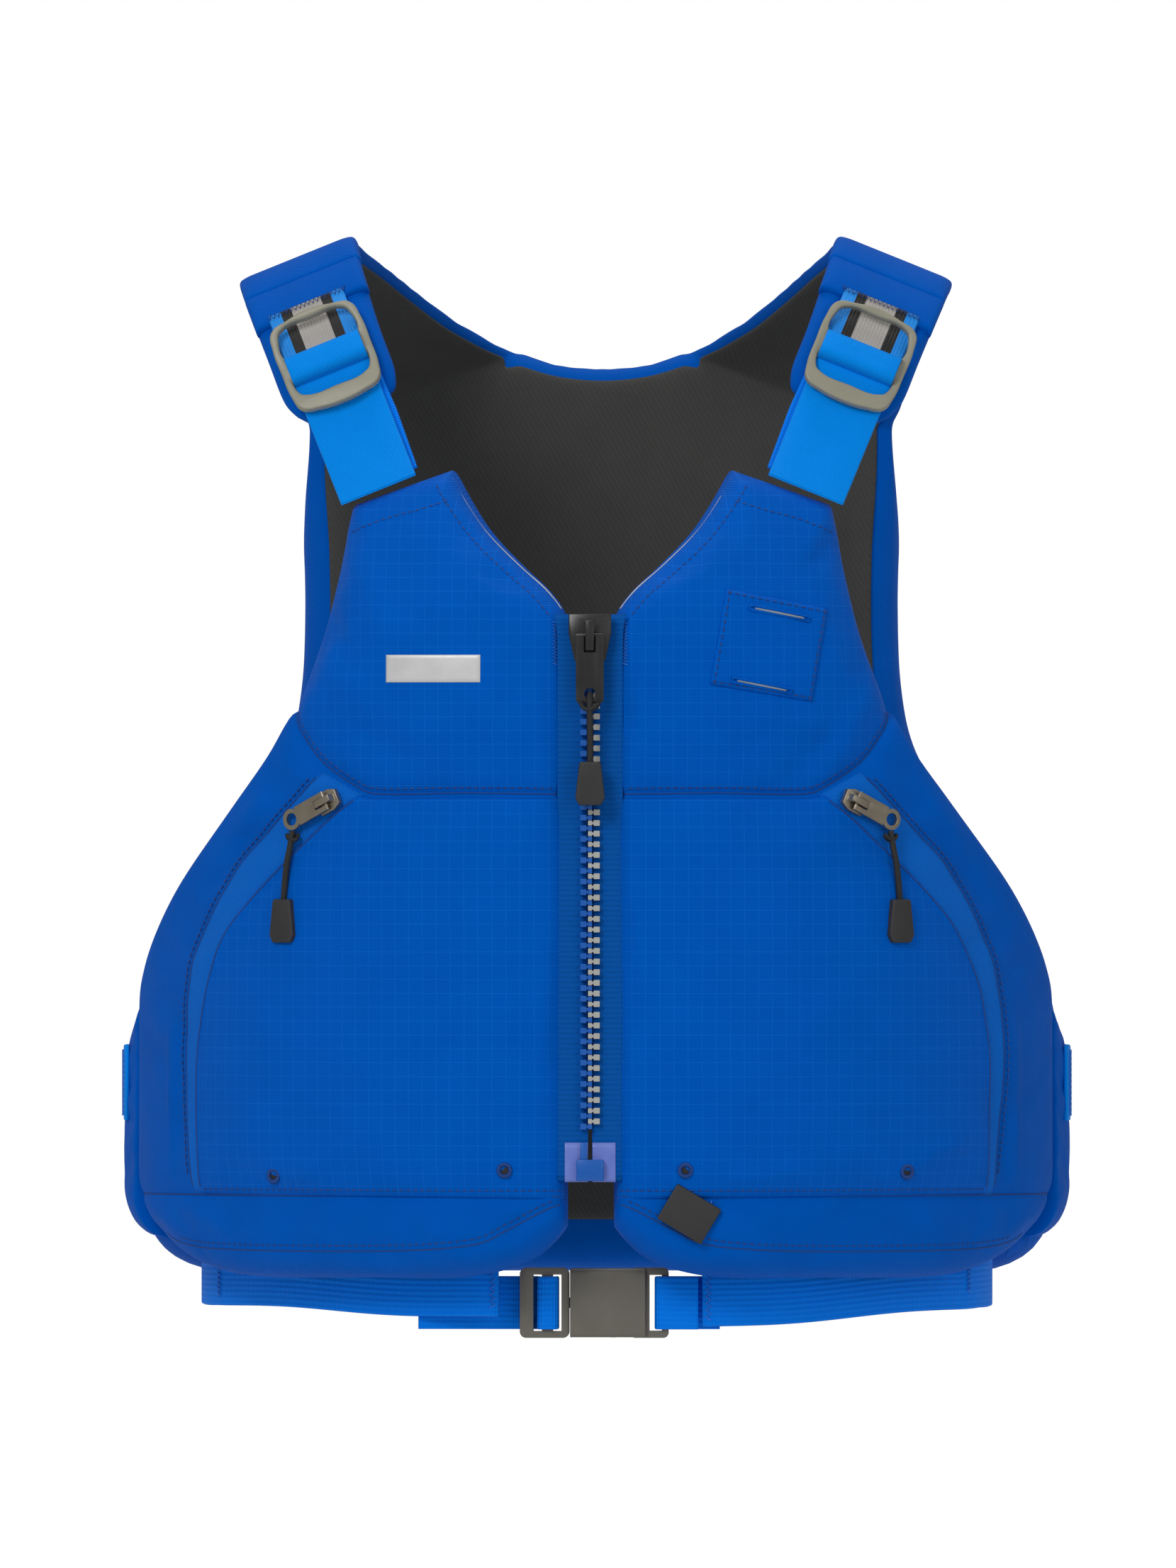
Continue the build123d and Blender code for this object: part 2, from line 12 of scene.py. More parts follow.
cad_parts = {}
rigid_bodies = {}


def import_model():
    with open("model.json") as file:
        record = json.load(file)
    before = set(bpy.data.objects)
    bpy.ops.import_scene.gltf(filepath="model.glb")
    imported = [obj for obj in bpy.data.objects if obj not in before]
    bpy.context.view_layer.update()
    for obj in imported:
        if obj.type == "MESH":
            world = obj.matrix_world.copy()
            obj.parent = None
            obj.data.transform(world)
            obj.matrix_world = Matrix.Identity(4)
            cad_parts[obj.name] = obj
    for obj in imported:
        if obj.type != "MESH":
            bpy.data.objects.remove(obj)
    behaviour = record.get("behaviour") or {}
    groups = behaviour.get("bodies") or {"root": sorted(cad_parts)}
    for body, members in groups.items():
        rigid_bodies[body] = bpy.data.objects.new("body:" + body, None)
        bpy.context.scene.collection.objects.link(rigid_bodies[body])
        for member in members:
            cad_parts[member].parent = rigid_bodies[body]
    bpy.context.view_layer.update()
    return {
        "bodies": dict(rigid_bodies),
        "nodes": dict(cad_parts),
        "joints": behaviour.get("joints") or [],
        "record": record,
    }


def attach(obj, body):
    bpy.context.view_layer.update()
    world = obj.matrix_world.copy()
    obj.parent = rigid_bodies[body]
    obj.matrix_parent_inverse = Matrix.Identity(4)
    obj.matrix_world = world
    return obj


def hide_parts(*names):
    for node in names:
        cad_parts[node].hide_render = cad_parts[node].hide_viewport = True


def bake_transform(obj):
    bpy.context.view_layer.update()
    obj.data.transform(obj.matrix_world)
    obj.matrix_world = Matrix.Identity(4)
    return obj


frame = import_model()
nodes = frame["nodes"]
mm = 0.001
sides = {"left": 1, "right": -1}
print("frame loaded:", len(nodes), "nodes")


# Camera and studio.
shot = {"distance": 16.0, "aside": 0.35, "centre": (-0.0018, -0.11, -0.2397), "seenHeight": 0.7373,
        "film": 36.0}
camera = bpy.data.objects.new("camera", bpy.data.cameras.new("camera"))
bpy.context.scene.collection.objects.link(camera)
camera.data.sensor_fit = "VERTICAL"
camera.data.sensor_height = shot["film"]
camera.data.lens = shot["film"] * shot["distance"] / shot["seenHeight"]
camera.data.clip_end = 50
camera.location = (shot["centre"][0] + shot["aside"], shot["centre"][1] - shot["distance"], shot["centre"][2])
camera.rotation_euler = (math.radians(90), 0, math.atan2(shot["aside"], shot["distance"]))
bpy.context.scene.camera = camera
bpy.context.scene.view_settings.view_transform = "Standard"


# Cords: a doubled cord from each puller's eye to its tab.
cordShape = {
    "diameter": 3.0, "pullerLine": -153.9,
    "zip": [(0, -153.9, -197.6), (0, -157.1, -200.2), (0, -157.5, -206.2), (0.3, -157.1, -217.2),
            (0.2, -156.7, -229.2)],
    "pocket": [(140.67, -115.71, -261.85), (141.57, -116.51, -268.85), (143.87, -116.11, -278.85),
               (144.87, -114.31, -293.85)],
}


def cordCurve(name, route):
    curve = bpy.data.curves.new(name, "CURVE")
    curve.dimensions = "3D"
    spline = curve.splines.new("NURBS")
    spline.points.add(len(route) - 1)
    for point, place in zip(spline.points, route):
        point.co = (*[v * mm for v in place], 1)
    spline.order_u = 3
    spline.use_endpoint_u = True
    curve.bevel_depth = cordShape["diameter"] / 2 * mm
    curve.bevel_resolution = 3
    curve.resolution_u = 10
    curve.use_fill_caps = True
    obj = bpy.data.objects.new(name, curve)
    bpy.context.scene.collection.objects.link(obj)
    return obj


cords = {"zipPullCord": cordCurve("zipPullCord", cordShape["zip"])}
for side, hand in sides.items():
    cords["pocketPullCord_" + side] = cordCurve("pocketPullCord_" + side,
                                                [(hand * x, y, z) for x, y, z in cordShape["pocket"]])


def srgb(text):
    # "#rrggbb" as linear red, green, blue and alpha
    parts = [int(text[i:i + 2], 16) / 255 for i in (1, 3, 5)]
    return [p / 12.92 if p <= 0.04045 else ((p + 0.055) / 1.055) ** 2.4 for p in parts] + [1.0]


def addNode(tree, kind, settings=None, inputs=None):
    # One node with its settings; an input is a value, or a socket to link from.
    node = tree.nodes.new(kind)
    for name, value in (settings or {}).items():
        setattr(node, name, value)
    for name, value in (inputs or {}).items():
        socket = node.inputs[name]
        if isinstance(value, bpy.types.NodeSocket):
            tree.links.new(value, socket)
        else:
            socket.default_value = value
    return node


# The torso skin.
torso = {"halfWidth": 221.0, "halfDepth": 148.0, "endRadius": 90.0, "wall": 33.0, "hem": -472.0,
         "leanFrom": -165.0, "lean": 27.0 / 85.0, "frontEdge": 264.6, "backEdge": 314.5}
endCentre = torso["halfWidth"] - torso["endRadius"]
longRadius = ((endCentre ** 2 + torso["halfDepth"] ** 2 - torso["endRadius"] ** 2)
              / (2 * (torso["halfDepth"] - torso["endRadius"])))
longCentre = longRadius - torso["halfDepth"]
longSweep = math.atan2(endCentre, longCentre)
longLength = longRadius * longSweep
endLength = torso["endRadius"] * (math.pi - 2 * longSweep)
halfRound = 2 * longLength + endLength


def skinAt(s, z, inset=0.0, lean=True):
    # Points of the vest's skin: s runs round the torso from the front middle, towards +X.
    # Gives the points and their outward normals, both as arrays of x, y, z.
    s, z, inset = np.broadcast_arrays(np.asarray(s, float), np.asarray(z, float), np.asarray(inset, float))
    mirror = np.where(s > halfRound, -1.0, np.where(s < 0, -1.0, 1.0))
    a = np.where(s > halfRound, 2 * halfRound - s, np.abs(s))
    turn = np.select(
        [a < longLength, a < longLength + endLength],
        [a / longRadius, longSweep + (a - longLength) / torso["endRadius"]],
        math.pi - longSweep + (a - longLength - endLength) / longRadius)
    onEnd = (a >= longLength) & (a < longLength + endLength)
    radius = np.where(onEnd, torso["endRadius"], longRadius) - inset
    centreX = np.where(onEnd, endCentre, 0.0)
    centreY = np.select([a < longLength, onEnd], [longCentre, 0.0], -longCentre)
    normal = np.stack([mirror * np.sin(turn), -np.cos(turn), np.zeros_like(turn)], -1)
    x = mirror * centreX + radius * normal[..., 0]
    y = centreY + radius * normal[..., 1]
    if lean:  # the chest leans back, with an easy bend
        bend = 14.0
        rise = (z - torso["leanFrom"]) / bend
        y = y + torso["lean"] * bend * np.logaddexp(0, rise)
    return np.stack([x, y, z], -1), normal


def roundTo(x):
    # How far round the torso the skin has come at this X, on the front.
    x = np.asarray(x, float)
    straight = longRadius * np.arcsin(np.clip(x / longRadius, -1, 1))
    end = longLength + torso["endRadius"] * (np.arcsin(np.clip((x - endCentre) / torso["endRadius"], -1,
                                                               1)) - longSweep)
    return np.where(x < longRadius * math.sin(longSweep), straight, end)


def smoothLine(points, count, straight=False):
    # Points evenly spaced along a smooth curve (or straight runs) through a few points.
    p = np.array(points, float)
    if straight or len(p) < 3:
        dense = np.concatenate([np.linspace(a, b, 40, endpoint=False) for a, b in zip(p, p[1:])] + [p[-1:]])
    else:
        ends = np.vstack([2 * p[0] - p[1], p, 2 * p[-1] - p[-2]])
        t = np.linspace(0, 1, 24, endpoint=False)[:, None]
        runs = []
        for a, b, c, d in zip(ends, ends[1:], ends[2:], ends[3:]):
            runs.append(0.5 * (2 * b + (c - a) * t + (2 * a - 5 * b + 4 * c - d) * t ** 2
                               + (3 * b - a - 3 * c + d) * t ** 3))
        dense = np.concatenate(runs + [p[-1:]])
    along = np.concatenate([[0], np.cumsum(np.linalg.norm(np.diff(dense, axis=0), axis=1))])
    if isinstance(count, np.ndarray):  # shares of the whole length
        at = np.interp(count, [0, 1], [0, along[-1]])
    else:
        at = np.linspace(0, along[-1], count)
    return np.stack([np.interp(at, along, dense[:, i]) for i in range(p.shape[1])], -1)


def joined(*lines):
    return np.concatenate([np.asarray(part, float) for part in lines])


def patch(bottom, top, inner, outer, across, up):
    # A grid between four edge lines; across and up are shares from 0 to 1.
    b, t = smoothLine(bottom, across, True), smoothLine(top, across, True)
    i, o = smoothLine(inner, up, True), smoothLine(outer, up, True)
    u, v = across[None, :, None], up[:, None, None]
    corners = ((1 - u) * (1 - v) * b[0] + u * (1 - v) * b[-1] + (1 - u) * v * t[0] + u * v * t[-1])
    return (1 - v) * b[None] + v * t[None] + (1 - u) * i[:, None] + u * o[:, None] - corners


def shares(count, first=None, last=None):
    # Even shares from 0 to 1, with tighter steps let in at the ends.
    inside = np.linspace(0, 1, count + 1)
    extra = [np.array(x) for x in (first, None if last is None else 1 - np.array(last)) if x is not None]
    low = max(first) if first is not None else 0
    high = 1 - max(last) if last is not None else 1
    step = 0.6 / count
    kept = inside[(inside > low + step) & (inside < high - step)]
    return np.unique(np.concatenate([[0.0, 1.0], kept] + extra))


def awayFrom(points, line):
    # Distance of each grid point to a line given as many points.
    line = np.asarray(line, float)
    best = np.full(points.shape[:-1], 1e9)
    for a, b in zip(line, line[1:]):
        d = b - a
        t = np.clip(((points - a) @ d) / max(d @ d, 1e-9), 0, 1)
        best = np.minimum(best, np.linalg.norm(points - a - t[..., None] * d, axis=-1))
    return best


def makeMesh(name, points, faces, cloth=None):
    # Points in millimetres. Cloth is each point's place on the flat fabric, in millimetres.
    mesh = bpy.data.meshes.new(name)
    mesh.from_pydata((np.asarray(points, float) * mm).tolist(), [], [list(map(int, f)) for f in faces])
    mesh.polygons.foreach_set("use_smooth", [True] * len(mesh.polygons))
    obj = bpy.data.objects.new(name, mesh)
    bpy.context.scene.collection.objects.link(obj)
    if cloth is not None:
        corner = np.zeros(len(mesh.loops), int)
        mesh.loops.foreach_get("vertex_index", corner)
        layer = mesh.uv_layers.new(name="cloth")
        layer.uv.foreach_set("vector", np.asarray(cloth, np.float32)[corner].ravel())
    return obj


def gridFaces(index):
    # Four-sided faces between the points of a grid of point numbers.
    return np.stack([index[:-1, :-1], index[:-1, 1:], index[1:, 1:], index[1:, :-1]], -1).reshape(-1, 4)


def closedShell(name, outer, inner, faces, cloth):
    # A closed shell from two facing layers of points, with a rim along their open edges.
    used = {(int(f[i]), int(f[(i + 1) % 4])) for f in faces for i in range(4)}
    rim = [(b, a, a + len(outer), b + len(outer)) for a, b in used if (b, a) not in used]
    back = np.asarray(faces)[:, ::-1] + len(outer)
    return makeMesh(name, np.concatenate([outer, inner]), np.concatenate([faces, back, sorted(rim)]),
                    np.concatenate([cloth, cloth]))


def closedGrid(name, outer, inner, cloth):
    index = np.arange(outer.shape[0] * outer.shape[1]).reshape(outer.shape[:2])
    return closedShell(name, outer.reshape(-1, 3), inner.reshape(-1, 3), gridFaces(index), cloth.reshape(-1, 2))


def settle(obj):
    # The object with its modifiers worked into a plain mesh.
    graph = bpy.context.evaluated_depsgraph_get()
    mesh = bpy.data.meshes.new_from_object(obj.evaluated_get(graph), preserve_all_data_layers=True,
                                           depsgraph=graph)
    obj.modifiers.clear()
    obj.data = mesh
    mesh.name = obj.name
    return obj


def rounded(obj, levels=1):
    step = obj.modifiers.new("rounded", "SUBSURF")
    step.levels = step.render_levels = levels
    return settle(obj)


def places(obj):
    flat = np.zeros(len(obj.data.vertices) * 3)
    obj.data.vertices.foreach_get("co", flat)
    return flat.reshape(-1, 3) / mm


def setPlaces(obj, points):
    obj.data.vertices.foreach_set("co", (np.asarray(points, float) * mm).ravel())
    obj.data.update()


def outwards(obj):
    flat = np.zeros(len(obj.data.vertices) * 3, np.float32)
    obj.data.vertex_normals.foreach_get("vector", flat)
    return flat.reshape(-1, 3).astype(float)


filling = {"frames": 20, "quality": 6, "mass": 0.3}


def puff(obj, cap, held, pressure=4.0, ease=0.006):
    # The fabric swells round its foam; held points stay, and no point moves past the cap.
    rest = places(obj)
    group = obj.vertex_groups.new(name="held")
    for i in np.nonzero(held > 0)[0]:
        group.add([int(i)], float(held[i]), "REPLACE")
    step = obj.modifiers.new("filling", "CLOTH")
    step.settings.quality = filling["quality"]
    step.settings.mass = filling["mass"]
    step.settings.use_pressure = True
    step.settings.uniform_pressure_force = pressure
    step.settings.vertex_group_mass = "held"
    step.settings.shrink_min = -ease
    step.settings.effector_weights.gravity = 0
    step.point_cache.frame_start = 1
    step.point_cache.frame_end = filling["frames"]
    for at in range(1, filling["frames"] + 1):
        bpy.context.scene.frame_set(at)
    graph = bpy.context.evaluated_depsgraph_get()
    shape = obj.evaluated_get(graph).to_mesh()
    moved = np.zeros(len(shape.vertices) * 3)
    shape.vertices.foreach_get("co", moved)
    obj.modifiers.clear()
    obj.vertex_groups.clear()
    bpy.context.scene.frame_set(1)
    step = moved.reshape(-1, 3) / mm - rest
    size = np.maximum(np.linalg.norm(step, axis=1), 1e-6)[:, None]
    setPlaces(obj, rest + step * (cap * np.tanh(size / cap) / size))


def crease(obj, folds, keep=None):
    # Ridges and hollows along short runs: x, z, x, z, half width, height in or out.
    points, normals = places(obj), outwards(obj)
    flat = points[:, [0, 2]]
    rise = np.zeros(len(points))
    for x0, z0, x1, z1, width, height in folds:
        a, b = np.array([x0, z0], float), np.array([x1, z1], float)
        d = b - a
        t = ((flat - a) @ d) / max(d @ d, 1e-9)
        near = np.linalg.norm(flat - a - np.clip(t, 0, 1)[:, None] * d, axis=1)
        fade = np.clip(np.minimum(t, 1 - t) * 3 + 0.15, 0, 1)
        rise += height * fade * np.exp(-(near / width) ** 2)
    if keep is not None:
        rise *= keep(points, normals)
    setPlaces(obj, points + normals * rise[:, None])


def edgeDrop(points, edges):
    # How far a padded face has rounded away near its edges: line, reach and depth for each.
    drop = np.zeros(points.shape[:-1])
    for line, reach, depth in edges:
        near = np.clip(1 - awayFrom(points, line) / reach, 0, 1)
        drop = np.maximum(drop, depth * (1 - np.sqrt(1 - near ** 2)))
    return drop


def groove(points, line, width, depth):
    return depth * np.exp(-(awayFrom(points, line) / width) ** 2)


def onSkin(points):
    # Front-view X, Z points as distance round the torso and Z.
    p = np.array(points, float)
    return np.stack([roundTo(p[:, 0]), p[:, 1]], -1)


def forSide(grid, side):
    # The grid for the wearer's left, or its other hand with its columns turned round.
    return grid if side == "left" else (grid * [-1, 1])[:, ::-1]


# Materials.
def newMaterial(name):
    material = bpy.data.materials.new(name)
    material.use_nodes = True
    return material, material.node_tree, material.node_tree.nodes["Principled BSDF"]


def woven(name, look):
    # Cloth, drawn on its own flat layout in millimetres. A twill line runs at an angle; ribs run
    # across a webbing; a ripstop grid has thicker threads every few millimetres.
    material, tree, shader = newMaterial(name)
    flat = addNode(tree, "ShaderNodeUVMap", {"uv_map": "cloth"})
    axes = addNode(tree, "ShaderNodeSeparateXYZ", None, {0: flat.outputs["UV"]})
    waves = []
    for angle, pitch in look["threads"]:
        turn = math.radians(angle)
        rate = 2 * math.pi / pitch
        across = addNode(tree, "ShaderNodeMath", {"operation": "MULTIPLY"},
                         {0: axes.outputs[0], 1: rate * math.cos(turn)})
        along = addNode(tree, "ShaderNodeMath", {"operation": "MULTIPLY_ADD"},
                        {0: axes.outputs[1], 1: rate * math.sin(turn), 2: across.outputs[0]})
        waves.append(addNode(tree, "ShaderNodeMath", {"operation": "SINE"}, {0: along.outputs[0]}).outputs[0])
    height = waves[0]
    for wave in waves[1:]:
        height = addNode(tree, "ShaderNodeMath", {"operation": "ADD"}, {0: height, 1: wave}).outputs[0]
    threadShade = addNode(tree, "ShaderNodeMapRange", None,
                          {"Value": height, "From Min": -len(waves), "From Max": len(waves),
                           "To Min": 1 - look["contrast"], "To Max": 1 + look["contrast"]})
    cloud = addNode(tree, "ShaderNodeTexNoise", None,
                    {"Vector": flat.outputs["UV"], "Scale": 0.035, "Detail": 3.0, "Roughness": 0.6})
    cloudShade = addNode(tree, "ShaderNodeMapRange", None,
                         {"Value": cloud.outputs["Fac"], "From Min": 0.3, "From Max": 0.7,
                          "To Min": 1 - look["fade"], "To Max": 1 + look["fade"]})
    shade = addNode(tree, "ShaderNodeMath", {"operation": "MULTIPLY"},
                    {0: threadShade.outputs[0], 1: cloudShade.outputs[0]}).outputs[0]
    colour = addNode(tree, "ShaderNodeRGB").outputs[0]
    colour.default_value = srgb(look["colour"])
    for stop in look.get("stripes", ()):  # bands along the strap: from, to, colour
        inside = addNode(tree, "ShaderNodeMath", {"operation": "COMPARE"},
                         {0: axes.outputs[0], 1: (stop[0] + stop[1]) / 2,
                          2: (stop[1] - stop[0]) / 2}).outputs[0]
        mixed = addNode(tree, "ShaderNodeMix", {"data_type": "RGBA"}, {"Factor": inside})
        tree.links.new(colour, mixed.inputs[6])
        mixed.inputs[7].default_value = srgb(stop[2])
        colour = mixed.outputs[2]
    if "grid" in look:
        grid = look["grid"]
        lines = []
        for own, other in ((0, 1), (1, 0)):
            cell = addNode(tree, "ShaderNodeMath", {"operation": "PINGPONG"},
                           {0: axes.outputs[own], 1: grid["pitch"] / 2})
            line = addNode(tree, "ShaderNodeMapRange", {"interpolation_type": "SMOOTHSTEP"},
                           {"Value": cell.outputs[0], "From Min": grid["width"],
                            "From Max": grid["width"] * 0.25,
                            "To Min": 0.0, "To Max": 1.0})
            dash = addNode(tree, "ShaderNodeMath", {"operation": "PINGPONG"},
                           {0: axes.outputs[other], 1: grid["dash"]})
            dashed = addNode(tree, "ShaderNodeMapRange", None,
                             {"Value": dash.outputs[0], "From Min": 0.0, "From Max": grid["dash"] * 0.5,
                              "To Min": 0.25, "To Max": 1.0})
            lines.append(addNode(tree, "ShaderNodeMath", {"operation": "MULTIPLY"},
                                 {0: line.outputs[0], 1: dashed.outputs[0]}).outputs[0])
        both = addNode(tree, "ShaderNodeMath", {"operation": "MAXIMUM"}, {0: lines[0], 1: lines[1]}).outputs[0]
        share = addNode(tree, "ShaderNodeMath", {"operation": "MULTIPLY"},
                        {0: both, 1: grid["share"]}).outputs[0]
        mixed = addNode(tree, "ShaderNodeMix", {"data_type": "RGBA"}, {"Factor": share})
        tree.links.new(colour, mixed.inputs[6])
        mixed.inputs[7].default_value = srgb(grid["colour"])
        colour = mixed.outputs[2]
        height = addNode(tree, "ShaderNodeMath", {"operation": "MULTIPLY_ADD"},
                         {0: both, 1: 1.6, 2: height}).outputs[0]
    shaded = addNode(tree, "ShaderNodeVectorMath", {"operation": "SCALE"}, {0: colour, "Scale": shade})
    tree.links.new(shaded.outputs[0], shader.inputs["Base Color"])
    rough = addNode(tree, "ShaderNodeMapRange", None,
                    {"Value": height, "From Min": -2.0, "From Max": 2.0,
                     "To Min": look["rough"] + 0.06, "To Max": look["rough"] - 0.06})
    tree.links.new(rough.outputs[0], shader.inputs["Roughness"])
    bump = addNode(tree, "ShaderNodeBump", None,
                   {"Height": height, "Strength": look["bump"], "Distance": 0.0002})
    tree.links.new(bump.outputs[0], shader.inputs["Normal"])
    shader.inputs["Sheen Weight"].default_value = look["sheen"]
    shader.inputs["Sheen Roughness"].default_value = 0.45
    shader.inputs["Sheen Tint"].default_value = srgb(look.get("sheenColour", "#ffffff"))
    shader.inputs["Specular IOR Level"].default_value = 0.3
    shader.inputs["Specular Tint"].default_value = srgb(look.get("sheenColour", "#ffffff"))
    return material


def moulded(name, look):
    # Plastic, rubber, enamel and plated metal: fine grain, a slow drift of gloss, worn lighter spots.
    material, tree, shader = newMaterial(name)
    here = addNode(tree, "ShaderNodeTexCoord").outputs["Object"]
    grain = addNode(tree, "ShaderNodeTexNoise", None,
                    {"Vector": here, "Scale": 1000 / look["grain"], "Detail": 2.0})
    drift = addNode(tree, "ShaderNodeTexNoise", None, {"Vector": here, "Scale": 90.0, "Detail": 3.0})
    mixed = addNode(tree, "ShaderNodeMix", {"data_type": "RGBA"}, {"Factor": drift.outputs["Fac"]})
    mixed.inputs[6].default_value = srgb(look["colour"])
    mixed.inputs[7].default_value = srgb(look["worn"])
    tree.links.new(mixed.outputs[2], shader.inputs["Base Color"])
    rough = addNode(tree, "ShaderNodeMapRange", None,
                    {"Value": drift.outputs["Fac"], "From Min": 0.3, "From Max": 0.7,
                     "To Min": look["rough"] - 0.06, "To Max": look["rough"] + 0.08})
    tree.links.new(rough.outputs[0], shader.inputs["Roughness"])
    bump = addNode(tree, "ShaderNodeBump", None,
                   {"Height": grain.outputs["Fac"], "Strength": look["bump"], "Distance": 0.0001})
    tree.links.new(bump.outputs[0], shader.inputs["Normal"])
    shader.inputs["Metallic"].default_value = look.get("metal", 0.0)
    return material


blueGrid = {"pitch": 6.5, "width": 0.34, "dash": 0.7, "share": 0.4, "colour": "#1472dc"}
stuff = {
    # ripstop nylon: a tight plain weave with a lighter reinforcing grid
    "ripstop": woven("ripstopNylon", {"colour": "#005bc1", "threads": [(0, 1.1), (90, 1.1)], "contrast": 0.025,
                                      "fade": 0.04, "rough": 0.62, "bump": 0.25, "sheen": 0.12,
                                      "sheenColour": "#1060ff", "grid": blueGrid}),
    # plain nylon twill on the wings, rims and hem: a fine slant, no grid
    "twill": woven("nylonTwill", {"colour": "#0059bd", "threads": [(58, 1.0)], "contrast": 0.07, "fade": 0.05,
                                  "rough": 0.66, "bump": 0.3, "sheen": 0.12, "sheenColour": "#1060ff"}),
    # brushed polyester lining: dark grey, matt, with a fine slant
    "lining": woven("liningTwill", {"colour": "#454544", "threads": [(58, 1.2), (-32, 2.4)], "contrast": 0.10,
                                    "fade": 0.05, "rough": 0.8, "bump": 0.3, "sheen": 0.1,
                                    "sheenColour": "#c8c8c0"}),
    # nylon webbing: hard ribs across the strap
    "webbing": woven("nylonWebbing",
                     {"colour": "#0892fa", "threads": [(90, 1.0)], "contrast": 0.10, "fade": 0.03,
                                      "rough": 0.5, "bump": 0.6, "sheen": 0.15, "sheenColour": "#3088ff"}),
    "belt": woven("beltWebbing", {"colour": "#0a82fa", "threads": [(90, 1.3), (0, 2.6)], "contrast": 0.08,
                                  "fade": 0.03, "rough": 0.52, "bump": 0.6, "sheen": 0.15,
                                  "sheenColour": "#3088ff"}),
    # woven zip tape: a narrow herringbone
    "tape": woven("zipTape", {"colour": "#0d57aa", "threads": [(45, 1.2), (90, 2.4)], "contrast": 0.14,
                              "fade": 0.03,
                              "rough": 0.7, "bump": 0.5, "sheen": 0.1, "sheenColour": "#2068f0"}),
    "pocketTape": woven("pocketZipTape",
                        {"colour": "#0f6ad0", "threads": [(40, 1.2), (-40, 1.2)], "contrast": 0.12,
                                          "fade": 0.03, "rough": 0.68, "bump": 0.5, "sheen": 0.1,
                                          "sheenColour": "#2068f0"}),
    # spun polyester thread, darker than the cloth it is sewn through
    "thread": moulded("sewingThread",
                      {"colour": "#04367c", "worn": "#0a4492", "grain": 0.4, "rough": 0.6, "bump": 0.4}),
    # dark blue lines along the seams: painted shade for the seams' folds
    "paintedSeamShade": moulded("paintedSeamShadeCloth",
                        {"colour": "#033a80", "worn": "#054494", "grain": 0.6, "rough": 0.75, "bump": 0.4}),
    "threadLight": moulded("sewingThreadLight",
                           {"colour": "#2a7de0", "worn": "#3c8cf0", "grain": 0.4, "rough": 0.55,
                                                 "bump": 0.4}),
    "threadGrey": moulded("pipingGrey", {"colour": "#b4b4b0", "worn": "#c8c8c4", "grain": 0.5, "rough": 0.7,
                                         "bump": 0.5}),
    # injection-moulded acetal: even, waxy, half matt
    "buckle": moulded("acetalTaupe", {"colour": "#67635a", "worn": "#716d63", "grain": 0.35, "rough": 0.42,
                                      "bump": 0.12}),
    "adjuster": moulded("acetalOlive", {"colour": "#8f8c7a", "worn": "#9c9a88", "grain": 0.35, "rough": 0.4,
                                        "bump": 0.1}),
    "toothGrey": moulded("acetalGrey", {"colour": "#a9a9a4", "worn": "#b8b8b3", "grain": 0.3, "rough": 0.38,
                                        "bump": 0.08}),
    "plasticBlue": moulded("acetalBlue", {"colour": "#0a58b2", "worn": "#0e62c0", "grain": 0.3, "rough": 0.32,
                                          "bump": 0.08}),
    # black enamel over a zinc casting: smooth, with bright edges
    "enamel": moulded("blackEnamel",
                      {"colour": "#1d1c1e", "worn": "#2a292b", "grain": 0.3, "rough": 0.3, "bump": 0.06}),
    # gunmetal plating: a brown-grey metal
    "gunmetal": moulded("gunmetalPlating",
                        {"colour": "#8d8474", "worn": "#a49b8b", "grain": 0.25, "rough": 0.32,
                                            "bump": 0.08, "metal": 0.85}),
    # soft PVC: dull black with a little bloom
    "rubber": moulded("softRubber",
                      {"colour": "#262527", "worn": "#333234", "grain": 0.5, "rough": 0.55, "bump": 0.2}),
    # braided cord; its black also serves as painted shade in the drain eyelets' holes
    "cord": moulded("braidedCordAndHoleShade",
                    {"colour": "#161617", "worn": "#262627", "grain": 0.8, "rough": 0.7, "bump": 0.8}),
    # lilac reinforcing film, fused on at the zip's foot
    "film": moulded("reinforcingFilm", {"colour": "#5a73cc", "worn": "#7d8fdc", "grain": 0.9, "rough": 0.35,
                                        "bump": 0.3}),
    "slotGrey": moulded("slotBacking",
                        {"colour": "#7d8894", "worn": "#93a0ac", "grain": 0.7, "rough": 0.7, "bump": 0.4}),
    # retroreflective print: pale silver, soft gloss
    "silver": moulded("reflectivePrint", {"colour": "#c9cac9", "worn": "#d6d7d6", "grain": 0.3, "rough": 0.4,
                                          "bump": 0.1, "metal": 0.2}),
}
print("materials made:", len(stuff))


def finish(obj, body, slot, *names):
    # Material and body of a piece; the slot argument is not used. A grown piece already has its material.
    if names:
        obj.data.materials.clear()
    for name in names:
        obj.data.materials.append(stuff[name])
    if body:
        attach(obj, body)
    return obj


# Front halves: foam slabs in their cover.
frontShape = {
    "hem": [(11.5, -447), (16, -453), (30, -464), (62, -471.5), (110, -472), (165, -472), (188, -468),
            (203, -460),
            (211, -453), (215.5, -446), (217.5, -440)],
    "neck": [(11.5, -160), (21, -148.6), (34, -137.5), (51, -121), (63, -104), (70, -92)],
    "armhole": [(144, -204), (137, -186), (130, -166), (123, -138), (120, -122), (117, -108)],
    "flank": [(217.5, -334), (213.5, -318), (206.5, -301), (195, -281), (172, -249), (153.5, -223),
              (144, -204)],
    "chestSeam": [(11.5, -244.5), (60, -244), (98, -244.5), (110, -241), (127, -229), (138, -214.5),
                  (144, -204)],
    "hemSeam": -433.0, "lowerSeam": [(11.5, -436), (22, -440), (39, -449), (55, -456), (94, -459), (170, -459),
                                      (197, -456), (208.5, -450)],
    "crown": 2.2,
}
wall = torso["wall"]
